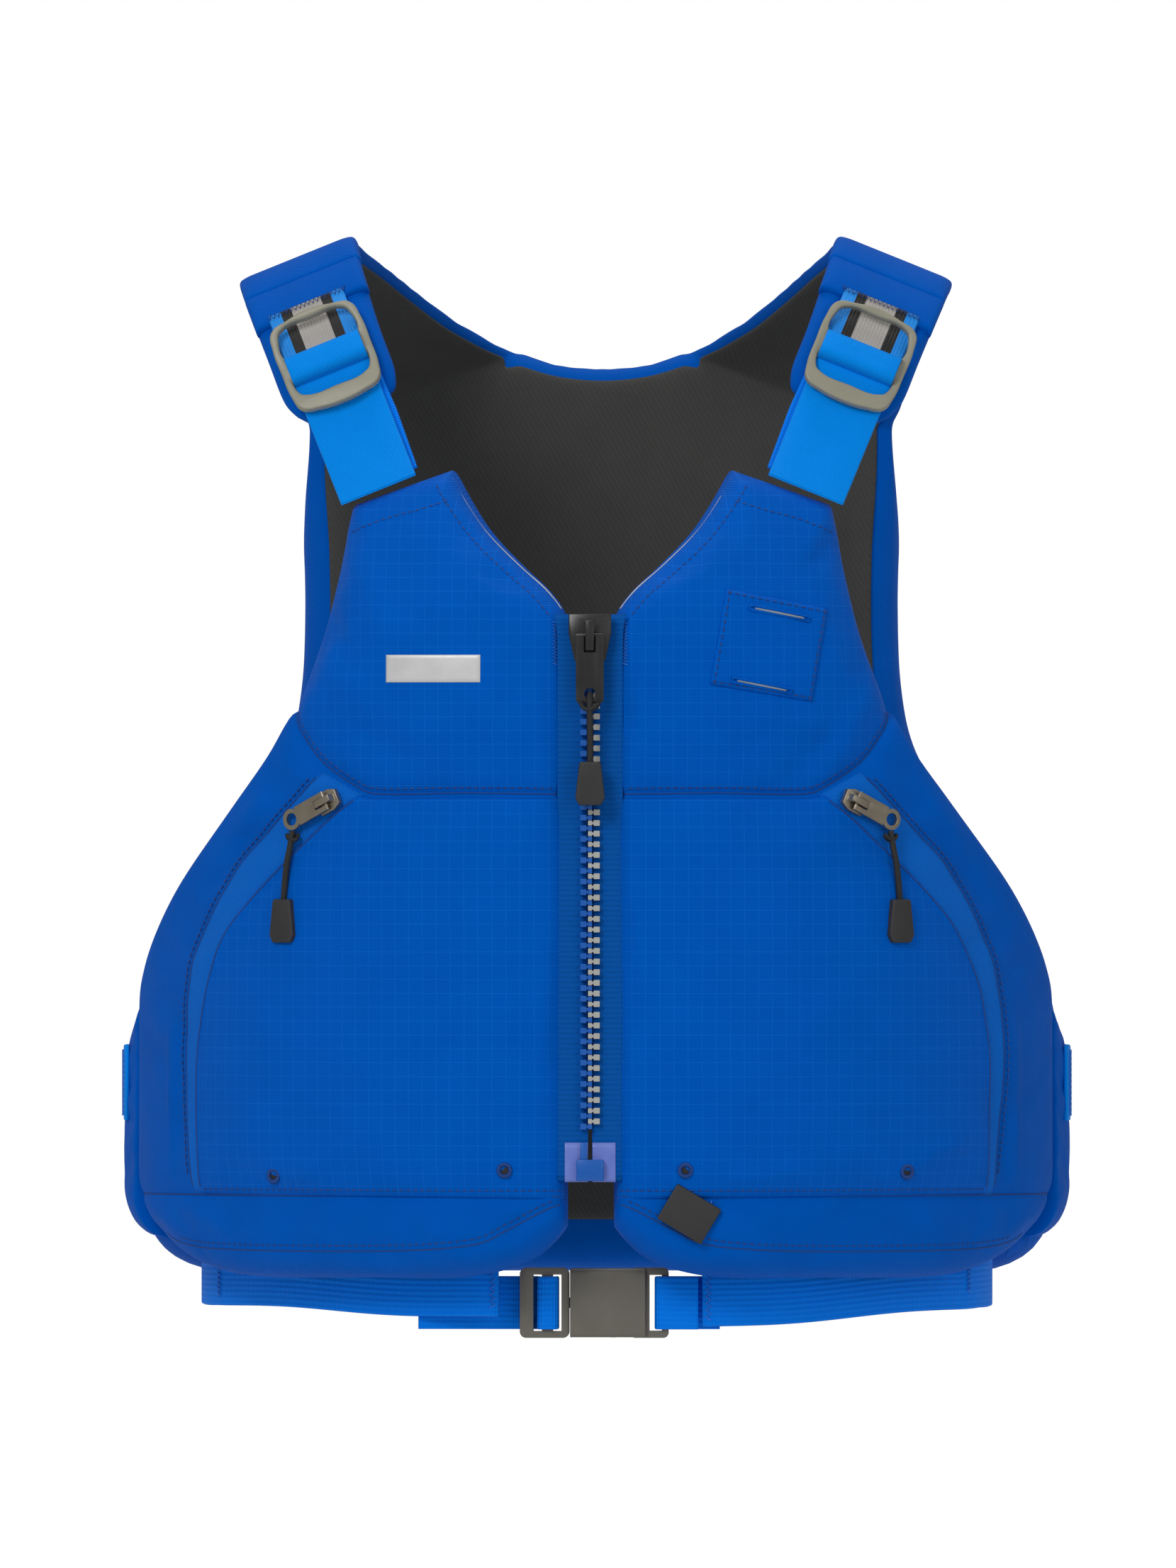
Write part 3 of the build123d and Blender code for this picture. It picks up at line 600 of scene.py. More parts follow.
line = {name: onSkin(smoothLine(frontShape[name], 60))
        for name in ("hem", "neck", "armhole", "flank", "chestSeam",
                                                                   "lowerSeam")}
seamLevel = frontShape["hemSeam"]
side0 = torso["frontEdge"]
line["hemSeam"] = np.array([(11.5, seamLevel), (side0, seamLevel)])
line["centre"] = joined([line["hem"][0], (11.5, -244.5)], line["neck"][:1])
line["top"] = np.array([line["neck"][-1], line["armhole"][-1]])
line["side"] = joined([line["hem"][-1], (side0, seamLevel)], line["flank"][:1])
across = shares(42, [0.006, 0.018, 0.038], [0.008, 0.022, 0.045])
chestTop = line["chestSeam"]
frontRows = [
    patch(line["hem"], line["hemSeam"], [line["hem"][0], (11.5, seamLevel)],
          [line["hem"][-1], (side0, seamLevel)],
          across, shares(8, [0.03, 0.09])),
    patch(line["hemSeam"], chestTop, [(11.5, seamLevel), (11.5, -244.5)],
          joined([(side0, seamLevel), line["flank"][0]], line["flank"]), across,
          shares(38, [0.006], [0.006, 0.014])),
    patch(chestTop, line["top"], joined([(11.5, -244.5), line["neck"][0]], line["neck"]),
          line["armhole"], across, shares(28, [0.01, 0.02], [0.015, 0.04, 0.08])),
]
frontGrid = np.concatenate([frontRows[0], frontRows[1][1:], frontRows[2][1:]])
chestRow = len(frontRows[0]) + len(frontRows[1]) - 2
frontEdges = [(line["centre"], 7.0, 12.0), (line["neck"], 10.0, 13.0), (line["top"], 9.0, 13.0),
              (line["armhole"], 13.0, 14.0), (line["flank"], 8.0, 5.0), (line["side"], 6.0, 4.5),
              (line["hem"], 15.0, 14.0)]
pocketArc = onSkin(smoothLine([(109, -245), (130, -264), (156, -291), (169.5, -309), (178.5, -331),
                               (182.5, -352),
                               (184.5, -375), (184, -433)], 60))
tapeArc = onSkin(smoothLine([(126, -234), (146, -256), (165, -277.5), (178.5, -302), (186.5, -323), (190, -350),
                             (190.5, -380), (187, -433)], 60))


def chestDrop(grid):
    # The front's face: rounded edges, a crowned middle and sewn seams.
    drop = edgeDrop(grid, frontEdges)
    middle = np.min([awayFrom(grid, edge[0]) for edge in frontEdges], axis=0)
    drop -= frontShape["crown"] * (1 - np.exp(-(middle / 28) ** 2))
    drop += groove(grid, line["chestSeam"], 2.6, 2.4)
    drop += groove(grid, line["lowerSeam"], 2.4, 2.0)
    drop += groove(grid, line["hemSeam"], 2.0, 1.6)
    return drop


# Folds seen on each half: x, z, x, z, half width, height; the cloth is pulled in at its seams.
frontFolds = {
    "right": [(20, -300, 26, -420, 3.5, 0.9), (30, -350, 22, -430, 3.0, -0.7), (150, -428, 96, -402, 4, 1.0),
              (176, -420, 140, -431, 4, -0.9), (200, -350, 206, -430, 5, 1.2), (192, -345, 197, -425, 4, -1.0),
              (196, -436, 170, -452, 4, 0.8), (80, -440, 60, -466, 5, 0.8), (30, -438, 40, -460, 4, -0.8),
              (118, -210, 80, -232, 7, -0.9), (130, -180, 100, -205, 8, 0.8), (60, -200, 30, -236, 7, 0.6),
              (26, -180, 22, -238, 4, 0.8), (110, -130, 96, -175, 7, 0.8), (128, -150, 112, -190, 6, -0.7),
              (160, -300, 190, -330, 5, 0.9), (150, -240, 172, -268, 5, 1.2), (155, -258, 184, -292, 4, -0.9)],
    "left": [(20, -270, 27, -350, 3.5, 1.0), (22, -345, 19, -430, 3.5, 0.9), (30, -380, 40, -430, 3.0, -0.7),
             (60, -425, 110, -420, 4, 0.8), (150, -420, 180, -405, 4, 0.9), (195, -340, 204, -430, 5, 1.1),
             (188, -380, 194, -436, 4, -0.9), (60, -438, 90, -462, 5, 0.8), (150, -438, 175, -458, 5, 0.8),
             (26, -180, 20, -240, 4, 0.8), (50, -215, 90, -236, 7, 0.8), (120, -120, 100, -140, 5, -0.7),
             (135, -190, 115, -230, 6, 0.8), (118, -215, 90, -238, 6, -0.7), (152, -236, 176, -272, 5, 1.1),
             (162, -262, 188, -300, 4, -0.9), (75, -205, 110, -215, 5, 0.7)],
}
frontSkin = {}
for side, hand in sides.items():
    drop = chestDrop(frontGrid)
    grid = forSide(frontGrid, side)
    handed = drop if side == "left" else drop[:, ::-1]
    outer, _ = skinAt(grid[..., 0], grid[..., 1], handed)
    innerDrop = edgeDrop(frontGrid, frontEdges)
    innerDrop = innerDrop if side == "left" else innerDrop[:, ::-1]
    inner, _ = skinAt(grid[..., 0], grid[..., 1], wall - innerDrop)
    shell = closedGrid("frontShell_" + side, outer, inner, grid)
    held = np.ones(outer.shape[:2])
    held[3:-4, 3:-4] = 0.0
    held[len(frontRows[0]) - 1] = 1.0
    held[chestRow - 1:chestRow + 2] = 1.0
    puff(shell, 3.5, np.concatenate([held.ravel(), np.ones(held.size)]))
    shell.data.materials.append(stuff["twill"])
    shell.data.materials.append(stuff["ripstop"])
    columns = outer.shape[1] - 1
    for face in shell.data.polygons[:(outer.shape[0] - 1) * columns]:
        face.material_index = 1 if face.index // columns >= chestRow else 0
    rounded(shell)
    crease(shell, [(hand * a, b, hand * c, d, w, 1.7 * h) for a, b, c, d, w, h in frontFolds[side]],
           lambda p, n: np.clip(-n[:, 1] * 2, 0, 1) * (p[:, 1] < -60))
    finish(shell, "front_" + side, "ripstop_nylon")
    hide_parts("front_cover_" + side, "front_foam_" + side)
    frontSkin[side] = BVHTree.FromObject(shell, bpy.context.evaluated_depsgraph_get())
print("front halves made")


def drape(tree, grid, lift, lean=True, inside=False):
    # Lays a grid on a shell: the nearest point of the shell along the skin's normal, and a lift.
    reach = 45.0
    start, normal = skinAt(grid[..., 0], grid[..., 1], wall + reach if inside else -reach, lean)
    base, _ = skinAt(grid[..., 0], grid[..., 1], wall if inside else 0.0, lean)
    ray = normal if inside else -normal
    lift = np.broadcast_to(lift, grid.shape[:-1])
    out = np.zeros_like(start)
    for at in np.ndindex(grid.shape[:-1]):
        hit, _, _, _ = tree.ray_cast(Vector(start[at] * mm), Vector(ray[at]), 2 * reach * mm)
        spot = np.array(hit) / mm if hit is not None else base[at]
        out[at] = spot - ray[at] * lift[at]
    return out


def laidSheet(name, tree, grid, thick, sink=1.0, lean=True, inside=False, soften=0):
    # A thin closed layer that follows a shell, with softly turned edges.
    top = np.full(grid.shape[:2], float(thick))
    top[[0, -1]] *= 0.35
    top[:, [0, -1]] = np.minimum(top[:, [0, -1]], 0.35 * thick)
    outer = drape(tree, grid, top, lean, inside)
    for _ in range(soften):  # evens out the steps that the layer bridges
        middle = (outer[:-2, 1:-1] + outer[2:, 1:-1] + outer[1:-1, :-2] + outer[1:-1, 2:]) / 4
        outer[1:-1, 1:-1] = 0.5 * outer[1:-1, 1:-1] + 0.5 * middle
    under = drape(tree, grid, -sink, lean, inside)
    if inside:
        outer, under = outer[:, ::-1], under[:, ::-1]
        grid = grid[:, ::-1]
    return closedGrid(name, outer, under, grid)


# Pocket panels, their zips' tapes.
pocketAcross = shares(40, [0.004, 0.012], [0.004, 0.012, 0.026])
pocketTop = onSkin(smoothLine([(12.5, -246.5), (60, -246), (98, -246.5), (109, -245)], 30))
pocketGrid = patch([(12.5, -434.5), (roundTo(184), -434.5)], pocketTop, [(12.5, -434.5), (12.5, -246.5)],
                   pocketArc[::-1], pocketAcross, shares(40, [0.006, 0.02], [0.004, 0.012]))
tapeGrid = patch([pocketArc[-1] - [2.5, 0], tapeArc[-1]], [pocketArc[0] - [2.5, 0], tapeArc[0]],
                 pocketArc[::-1] - [2.5, 0], tapeArc[::-1], np.linspace(0, 1, 9), np.linspace(0, 1, 60))
pocketSkin = {}
for side, hand in sides.items():
    grid = forSide(pocketGrid, side)
    panel = laidSheet("pocketPanel_" + side, frontSkin[side], grid, 2.2, sink=1.2, soften=2)
    near = np.min([awayFrom(pocketGrid, edge) for edge in
                   (pocketArc, pocketTop, [(12.5, -434.5), (200, -434.5)], [(12.5, -434.5), (12.5, -246)])],
                  axis=0)
    full = 1.6 * (1 - np.exp(-(near / 22) ** 2)) - 0.9 * np.exp(-((near - 3.2) / 1.0) ** 2)
    full = full if side == "left" else full[:, ::-1]
    points, normals = places(panel), outwards(panel)
    raised = np.concatenate([full.ravel(), np.zeros(full.size)])
    setPlaces(panel, points + normals * raised[:, None])
    rounded(panel)
    crease(panel, [(hand * a, b, hand * c, d, w, h * 0.7) for a, b, c, d, w, h in frontFolds[side] if b < -262],
           lambda p, n: np.clip(-n[:, 1] * 2, 0, 1))
    finish(panel, "front_" + side, "ripstop_nylon", "ripstop")
    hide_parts("pocket_panel_" + side)
    pocketSkin[side] = BVHTree.FromObject(panel, bpy.context.evaluated_depsgraph_get())
    grid = forSide(tapeGrid, side)
    band = laidSheet("pocketZip_" + side, frontSkin[side], grid, 0.7, sink=0.8)
    finish(band, "front_" + side, "zip_tape", "pocketTape")
    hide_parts("pocket_zip_" + side)
    lining = laidSheet("frontLining_" + side, frontSkin[side],
                       forSide(patch(line["hem"] * [1, 1] + [0, 7], line["top"] - [0, 7],
                                     joined(line["centre"][:-1], line["neck"]) + [6, 0],
                                     joined(line["side"][:-1], line["flank"][:-1], line["armhole"]) - [6, 0],
                                     shares(36), shares(60)), side),
                       0.8, sink=1.5, inside=True)
    finish(lining, "front_" + side, "lining_cloth", "lining")
    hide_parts("front_lining_" + side)
print("pockets and linings made")


# Side panels.
sideShape = {"top": [(0, -334), (11, -340), (26, -345), (40, -347), (48, -346), (60, -341), (72.5, -325)],
             "foot": -454.0, "inset": 0.5, "thickness": 29.5}
sideStart, sideEnd = torso["frontEdge"] + 0.4, torso["backEdge"] - 0.3
topLine = smoothLine(np.array(sideShape["top"], float) * [(sideEnd - sideStart) / 72.5, 1] + [sideStart, 0], 40)
sideGrid = patch([(sideStart, sideShape["foot"]), (sideEnd, sideShape["foot"])], topLine,
                 [(sideStart, sideShape["foot"]), topLine[0]], [(sideEnd, sideShape["foot"]), topLine[-1]],
                 shares(14, [0.02, 0.06], [0.02, 0.06]), shares(24, [0.012, 0.035, 0.07], [0.012, 0.035, 0.07]))
sideEdges = [(topLine, 15.0, 13.0), (sideGrid[0], 26.0, 15.0), (sideGrid[:, 0], 6.0, 3.5),
             (sideGrid[:, -1], 6.0, 3.5)]
for side, hand in sides.items():
    grid = forSide(sideGrid, side)
    drop = edgeDrop(sideGrid, sideEdges)
    drop -= 2.0 * (1 - np.exp(-(awayFrom(sideGrid, topLine) / 40) ** 2))
    drop = drop if side == "left" else drop[:, ::-1]
    outer, _ = skinAt(grid[..., 0], grid[..., 1], sideShape["inset"] + drop, False)
    inner, _ = skinAt(grid[..., 0], grid[..., 1],
                      sideShape["inset"] + sideShape["thickness"] - np.maximum(drop, 0), False)
    panel = closedGrid("sidePanel_" + side, outer, inner, grid)
    held = np.ones(outer.shape[:2])
    held[3:-3, 2:-2] = 0.0
    puff(panel, 2.5, np.concatenate([held.ravel(), np.ones(held.size)]), ease=0.02)
    rounded(panel)
    finish(panel, None, "ripstop_nylon", "twill")
    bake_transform(panel)
    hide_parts("side_panel_" + side)
print("side panels made")


# Back panel with its shoulders.
backShape = {
    "armhole": [(207.5, -309), (192, -281), (171, -247), (156, -222), (150, -197), (148, -165), (148.5, -130),
                (150, -100), (150, -71)],
    "neck": [(45, -34), (24, -39.5), (0, -41.5), (-24, -39.5), (-45, -34)],
    "taper": 62.0, "topOut": 13.0, "topIn": 28.5,
}


def backRound(x):
    return halfRound - np.sign(x) * roundTo(np.abs(x))


def onBack(points):
    p = np.array(points, float)
    return np.stack([backRound(p[:, 0]), p[:, 1]], -1)


armholeBack = onBack(smoothLine(backShape["armhole"], 60))
neckBack = onBack(smoothLine(backShape["neck"], 50))
flipped = np.array([-1, 1])
armholeFar = armholeBack * flipped + [2 * halfRound, 0]
topBack = joined(armholeBack[-1:], neckBack, armholeFar[-1:])
farSide = 2 * halfRound - torso["backEdge"]
hemBack = joined(smoothLine([(torso["backEdge"], -454), (332, -465), (358, -471), (385, -472)], 20),
                 [(halfRound, -472)],
                 smoothLine([(2 * halfRound - 385, -472), (2 * halfRound - 358, -471),
                             (2 * halfRound - 332, -465),
                             (farSide, -454)], 20))
nearSide = joined([hemBack[0]], armholeBack)
otherSide = joined([hemBack[-1]], armholeFar)
runs = [np.linalg.norm(np.diff(part, axis=0), axis=1).sum() for part in
        (joined(armholeBack[-1:], neckBack[:1]), neckBack)]
strapShare = runs[0] / (2 * runs[0] + runs[1])
strapColumns = np.unique(np.concatenate([[0, 0.035, 0.1, 0.18], np.linspace(0.26, 0.8, 7), [0.87, 0.94, 1.0]]))
neckColumns = np.linspace(0, 1, 27)
across = np.concatenate([strapColumns * strapShare, strapShare + neckColumns[1:-1] * (1 - 2 * strapShare),
                         1 - strapColumns[::-1] * strapShare])
strapCount = len(strapColumns)
backGrid = patch(hemBack, topBack, nearSide, otherSide, across,
                 shares(56, [0.005, 0.015, 0.03], [0.004, 0.012, 0.026, 0.045]))
rows, columns = backGrid.shape[:2]
fromTop = awayFrom(backGrid, topBack)
ease = np.clip(1 - fromTop / backShape["taper"], 0, 1)
ease = ease * ease * (3 - 2 * ease)
layerOut = backShape["topOut"] * ease
layerIn = wall + (backShape["topIn"] - wall) * ease
share = edgeDrop(backGrid, [(neckBack, 11.0, 0.9), (armholeBack, 12.0, 0.9), (armholeFar, 12.0, 0.9),
                            (hemBack, 15.0, 0.85), (nearSide[:2], 8.0, 0.5), (otherSide[:2], 8.0, 0.5)])
half = (layerIn - layerOut) / 2
crown = 2.5 * (1 - np.exp(-(np.min([awayFrom(backGrid, part)
                                    for part in (topBack, armholeBack, armholeFar, hemBack)],
                                   axis=0) / 35) ** 2))
outerBack, _ = skinAt(backGrid[..., 0], backGrid[..., 1], layerOut + share * half - crown, False)
innerBack, _ = skinAt(backGrid[..., 0], backGrid[..., 1], layerIn - share * half, False)

# Each shoulder runs forwards from the back panel's top to the ridge, as rows of the same shell.
yoke = {"neckEdge": [(45, 128, -34), (54, 116, -29), (64, 100, -22), (75, 80, -14), (89, 52, -2),
                     (101, 20, 8.5),
                     (110, -5, 15), (114, -21.6, 19.5)],
        "armEdge": [(147, 106, -71), (149, 92, -61), (152, 72, -46), (157, 46, -30), (162, 16, -15.5),
                    (168, -21.6, -5)],
        "rows": 22, "thickness": 9.5, "crown": 2.0}
neckEdge, armEdge = smoothLine(yoke["neckEdge"], yoke["rows"]), smoothLine(yoke["armEdge"], yoke["rows"])


def yokeRows(hand):
    # Outer and inner points of one shoulder, row by row from the panel to the ridge.
    u = strapColumns[None, :, None]
    line = armEdge[:, None] * (1 - u) + neckEdge[:, None] * u
    along = np.gradient(line, axis=0)
    sideways = (neckEdge - armEdge)[:, None] + 0 * line
    up = np.cross(sideways, along)
    up /= np.linalg.norm(up, axis=-1, keepdims=True)
    up *= np.where(up[..., 2:] < 0, -1, 1)
    width = np.linalg.norm(neckEdge - armEdge, axis=-1)[:, None]
    near = np.clip(1 - np.minimum(strapColumns, 1 - strapColumns)[None] * width / 8.0, 0, 1)
    closing = (1 - np.sqrt(1 - near ** 2)) * 0.9
    thick = yoke["thickness"] / 2
    rise = yoke["crown"] * np.sin(np.pi * strapColumns)[None] * np.ones_like(width)
    top = line + up * (rise + thick * (1 - closing) - thick)[..., None]
    under = line + up * (rise - thick * (1 - closing) - thick)[..., None]
    away = np.array([hand, 1, 1])
    return top * away, under * away


points = {"outer": [outerBack.reshape(-1, 3)], "inner": [innerBack.reshape(-1, 3)]}
flatCloth = [backGrid.reshape(-1, 2) - [halfRound, 0]]
faceSets = [gridFaces(np.arange(rows * columns).reshape(rows, columns))]
liningFaces = [gridFaces(np.arange(rows * columns).reshape(rows, columns)[4:-2, 1:-1])]
topRow = np.arange(rows * columns).reshape(rows, columns)[-1]
joinRow = np.arange(rows * columns).reshape(rows, columns)[-3:]
count = rows * columns
fadeOut = ((1 - np.linspace(0, 1, yoke["rows"])) ** 3)[1:, None, None]
for hand, row, low in ((1, topRow[:strapCount], joinRow[:, :strapCount]),
                       (-1, topRow[-strapCount:], joinRow[:, -strapCount:])):
    top, under = yokeRows(hand)
    if hand < 0:
        top, under = top[:, ::-1], under[:, ::-1]
    wallTop, wallIn = points["outer"][0][row], points["inner"][0][row]
    newTop = top[1:] + (wallTop - top[0])[None] * fadeOut
    newUnder = under[1:] + (wallIn - under[0])[None] * fadeOut
    numbers = count + np.arange(newTop.shape[0] * strapCount).reshape(-1, strapCount)
    faceSets.append(gridFaces(np.concatenate([row[None], numbers])))
    kept = slice(1, -1)
    liningFaces.append(gridFaces(np.concatenate([low[:, kept], numbers[:, kept]])))
    points["outer"].append(newTop.reshape(-1, 3))
    points["inner"].append(newUnder.reshape(-1, 3))
    start = flatCloth[0][row]
    rise = np.cumsum(np.linalg.norm(np.diff(np.concatenate([wallTop[None], newTop]), axis=0), axis=-1), axis=0)
    flatCloth.append((start[None] + np.stack([0 * rise, rise], -1)).reshape(-1, 2))
    count += numbers.size
outerAll, innerAll, clothAll = (np.concatenate(x) for x in (points["outer"], points["inner"], flatCloth))
backFaces = np.concatenate(faceSets)
back = closedShell("backShell", outerAll, innerAll, backFaces, clothAll)
held = np.zeros(rows * columns).reshape(rows, columns)
held[:3] = held[:, :2] = held[:, -2:] = 1.0
held[-2:, strapCount:-strapCount] = 0.35
ridge = np.zeros((yoke["rows"] - 1, strapCount))
ridge[-3:] = 1.0
ridge[:, [0, -1]] = 0.4
puff(back, 4.0, np.concatenate([held.ravel(), ridge.ravel(), ridge.ravel(), np.ones(len(outerAll))]), ease=0.02)
rounded(back)

finish(back, "back", "ripstop_nylon", "twill")
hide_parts("back_cover", "back_foam", "shoulder_pad_left", "shoulder_pad_right")
towards = outerAll - innerAll
towards /= np.maximum(np.linalg.norm(towards, axis=1, keepdims=True), 1e-6)
liningAll = np.concatenate(liningFaces)
usedPoints, renumbered = np.unique(liningAll, return_inverse=True)
renumbered = renumbered.reshape(-1, 4)[:, ::-1]
lining = closedShell("backLining", (innerAll - towards * 1.6)[usedPoints],
                     (innerAll + towards * 1.0)[usedPoints],
                     renumbered, clothAll[usedPoints])
rounded(lining)
finish(lining, "back", "lining_cloth", "lining")
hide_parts("back_lining")
print("back made")


# Shoulder frame: the strap's arch over each shoulder.
arch = {"ridge": (141.0, -22.0, 7.0), "slope": 22.0, "reach": 72.0, "drop": 120.0, "strapMiddle": 3.0}
slopeCos, slopeSin = math.cos(math.radians(arch["slope"])), math.sin(math.radians(arch["slope"]))
archTurn = np.linspace(0, math.pi / 2, 400)
archLine = np.stack([-arch["reach"] * np.sin(archTurn), arch["drop"] * (np.cos(archTurn) - 1)], -1)
archRun = np.concatenate([[0], np.cumsum(np.linalg.norm(np.diff(archLine, axis=0), axis=1))])


def runTo(level):
    # Length along the arch from the ridge down to this height below it.
    return np.interp(-level, -archLine[:, 1], archRun)


def onArch(x, run, height, hand):
    # Points over the shoulder: x across the strap, run along it from the ridge, height above it.
    x, run, height = np.broadcast_arrays(np.asarray(x, float), np.asarray(run, float),
                                         np.asarray(height, float))
    turn = np.interp(run, archRun, archTurn)
    up = np.stack([np.zeros_like(turn), -np.sin(turn) / arch["reach"], np.cos(turn) / arch["drop"]], -1)
    up /= np.linalg.norm(up, axis=-1, keepdims=True)
    local = np.stack([x, -arch["reach"] * np.sin(turn), arch["drop"] * (np.cos(turn) - 1)],
                     -1) + up * height[..., None]
    world = np.stack([local[..., 0] * slopeCos + local[..., 2] * slopeSin, local[..., 1],
                      -local[..., 0] * slopeSin + local[..., 2] * slopeCos], -1) + arch["ridge"]
    return world * [hand, 1, 1]


def archPad(name, side, grid, top, under):
    # A padded layer on the arch: grid of x and run, with top and under heights.
    hand = sides[side]
    if side == "right":
        grid, top, under = grid[:, ::-1], top[:, ::-1], under[:, ::-1]
    outer = onArch(grid[..., 0], grid[..., 1], top, hand)
    inner = onArch(grid[..., 0], grid[..., 1], under, hand)
    # rows run down the arch, so the faces are turned to look outwards
    return closedGrid(name, outer[::-1], inner[::-1], (grid * [hand, -1])[::-1])


# Shoulder flaps, with a folded band at the ridge and a second one over the strap.
flap = {"inner": [(-29.5, 0), (-29, 16), (-27.5, 34), (-25.5, 66), (-25, 88), (-22.5, 96)],
        "outer": [(29.5, 0), (29.5, 20), (29.5, 60), (29.5, 84), (26, 93)],
        "foot": [(-22.5, 96), (-19, 99), (0, 101.5), (18, 100), (26, 93)], "top": -1.2, "under": -9.5}
flapScale = runTo(-77.0) / 101.5
flapIn, flapOut, flapFoot = (smoothLine(np.array(flap[name]) * [1, flapScale], 40)
                             for name in ("inner", "outer", "foot"))
flapGrid = patch([(-29.5, 0), (29.5, 0)], flapFoot, flapIn, flapOut, shares(16, [0.03, 0.08], [0.03, 0.08]),
                 shares(26, None, [0.012, 0.035]))
flapNear = np.min([awayFrom(flapGrid, part) for part in (flapIn, flapOut, flapFoot)], axis=0)
closing = 1 - np.sqrt(1 - np.clip(1 - flapNear / 7.0, 0, 1) ** 2)
bandEnd, bandFold = runTo(-24.5), runTo(-9.5)
for side, hand in sides.items():
    halfThick = (flap["top"] - flap["under"]) / 2
    top = flap["top"] - closing * halfThick * 0.9 + 0.8 * np.clip(flapNear / 9, 0, 1) * np.clip(
        (np.abs(flapGrid[..., 0] - 3) - 19) / 6, 0, 1)
    shell = archPad("shoulderFlap_" + side, side, flapGrid, top, flap["under"] + closing * halfThick * 0.9)
    rounded(shell)
    finish(shell, None, "ripstop_nylon", "twill")
    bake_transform(shell)
    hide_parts("shoulder_flap_" + side)
    bands = {
        "ridgeBand": (-2.0, bandFold, -29.8, 29.8, 2.6, 1.3),
        "strapBand": (bandFold - 2.0, bandEnd, -28.2, 29.9, 2.2, 0.6),
    }
    for name, (start, end, left, right, height, puffUp) in bands.items():
        u, v = shares(20, [0.012, 0.04], [0.012, 0.04]), shares(14, [0.03, 0.08], [0.03, 0.08])
        grid = patch([(left, start), (right, start)], [(left + 0.9, end), (right, end)],
                     [(left, start), (left + 0.9, end)],
                     [(right, start), (right, end)], u, v)
        near = np.minimum(np.minimum(u, 1 - u)[None] * (right - left),
                          np.minimum(v, 1 - v)[:, None] * (end - start))
        shape = height * np.sqrt(np.clip(1 - np.clip(1 - near / 2.2, 0, 1) ** 2, 0, 1))
        shape = shape + puffUp * np.clip(near / 5, 0, 1) * np.sin(np.clip(v[:, None], 0, 1) * math.pi)
        under = np.where(near < 2.5, -5.0, -1.0)
        band = archPad(f"{name}_{side}", side, grid, shape - 0.6, under)
        rounded(band)
        finish(band, None, "ripstop_nylon", "twill")
        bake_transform(band)
print("shoulder flaps made")


# Webbing: flat straps with rounded edges, swept along a line.
def strap(name, middle, sideways, up, width, thick):
    # Middle, sideways and up are arrays of points and directions along the strap.
    half, t = width / 2, thick / 2
    section = [(-half, 0), (-half + 0.25, 0.75 * t), (-half + 0.9, t), (-half / 2, t), (0, t), (half / 2, t),
               (half - 0.9, t), (half - 0.25, 0.75 * t), (half, 0), (half - 0.25, -0.75 * t), (half - 0.9, -t),
               (half / 2, -t), (0, -t), (-half / 2, -t), (-half + 0.9, -t), (-half + 0.25, -0.75 * t)]
    x = np.array([p[0] for p in section])[None, :, None]
    z = np.array([p[1] for p in section])[None, :, None]
    middle, sideways, up = (np.asarray(a, float) for a in (middle, sideways, up))
    ring = middle[:, None] + sideways[:, None] * x + up[:, None] * z
    rowsCount, around = ring.shape[:2]
    numbers = np.arange(rowsCount * around).reshape(rowsCount, around)
    nextOne = np.roll(numbers, -1, axis=1)
    faces = np.stack([numbers[:-1], nextOne[:-1], nextOne[1:], numbers[1:]], -1).reshape(-1, 4).tolist()
    faces += [numbers[0][::-1].tolist(), numbers[-1].tolist()]
    run = np.concatenate([[0], np.cumsum(np.linalg.norm(np.diff(middle, axis=0), axis=1))])
    cloth = np.stack([np.broadcast_to(x[..., 0], ring.shape[:2]),
                      np.broadcast_to(run[:, None], ring.shape[:2])], -1)
    obj = makeMesh(name, ring.reshape(-1, 3), faces, cloth.reshape(-1, 2))
    shape = bmesh.new()
    shape.from_mesh(obj.data)
    bmesh.ops.recalc_face_normals(shape, faces=shape.faces)
    shape.to_mesh(obj.data)
    shape.free()
    return obj


def archStrap(name, side, runs, heights, width, thick, offset=None):
    # A strap that lies on the shoulder's arch.
    runs, heights = np.asarray(runs, float), np.asarray(heights, float)
    offset = np.zeros_like(runs) if offset is None else np.asarray(offset, float)
    hand = sides[side]
    middle = onArch(arch["strapMiddle"] + offset, runs, heights, hand)
    aside = onArch(arch["strapMiddle"] + offset + 1, runs, heights, hand) - middle
    above = onArch(arch["strapMiddle"] + offset, runs, heights + 1, hand) - middle
    return strap(name, middle, aside, above, width, thick)


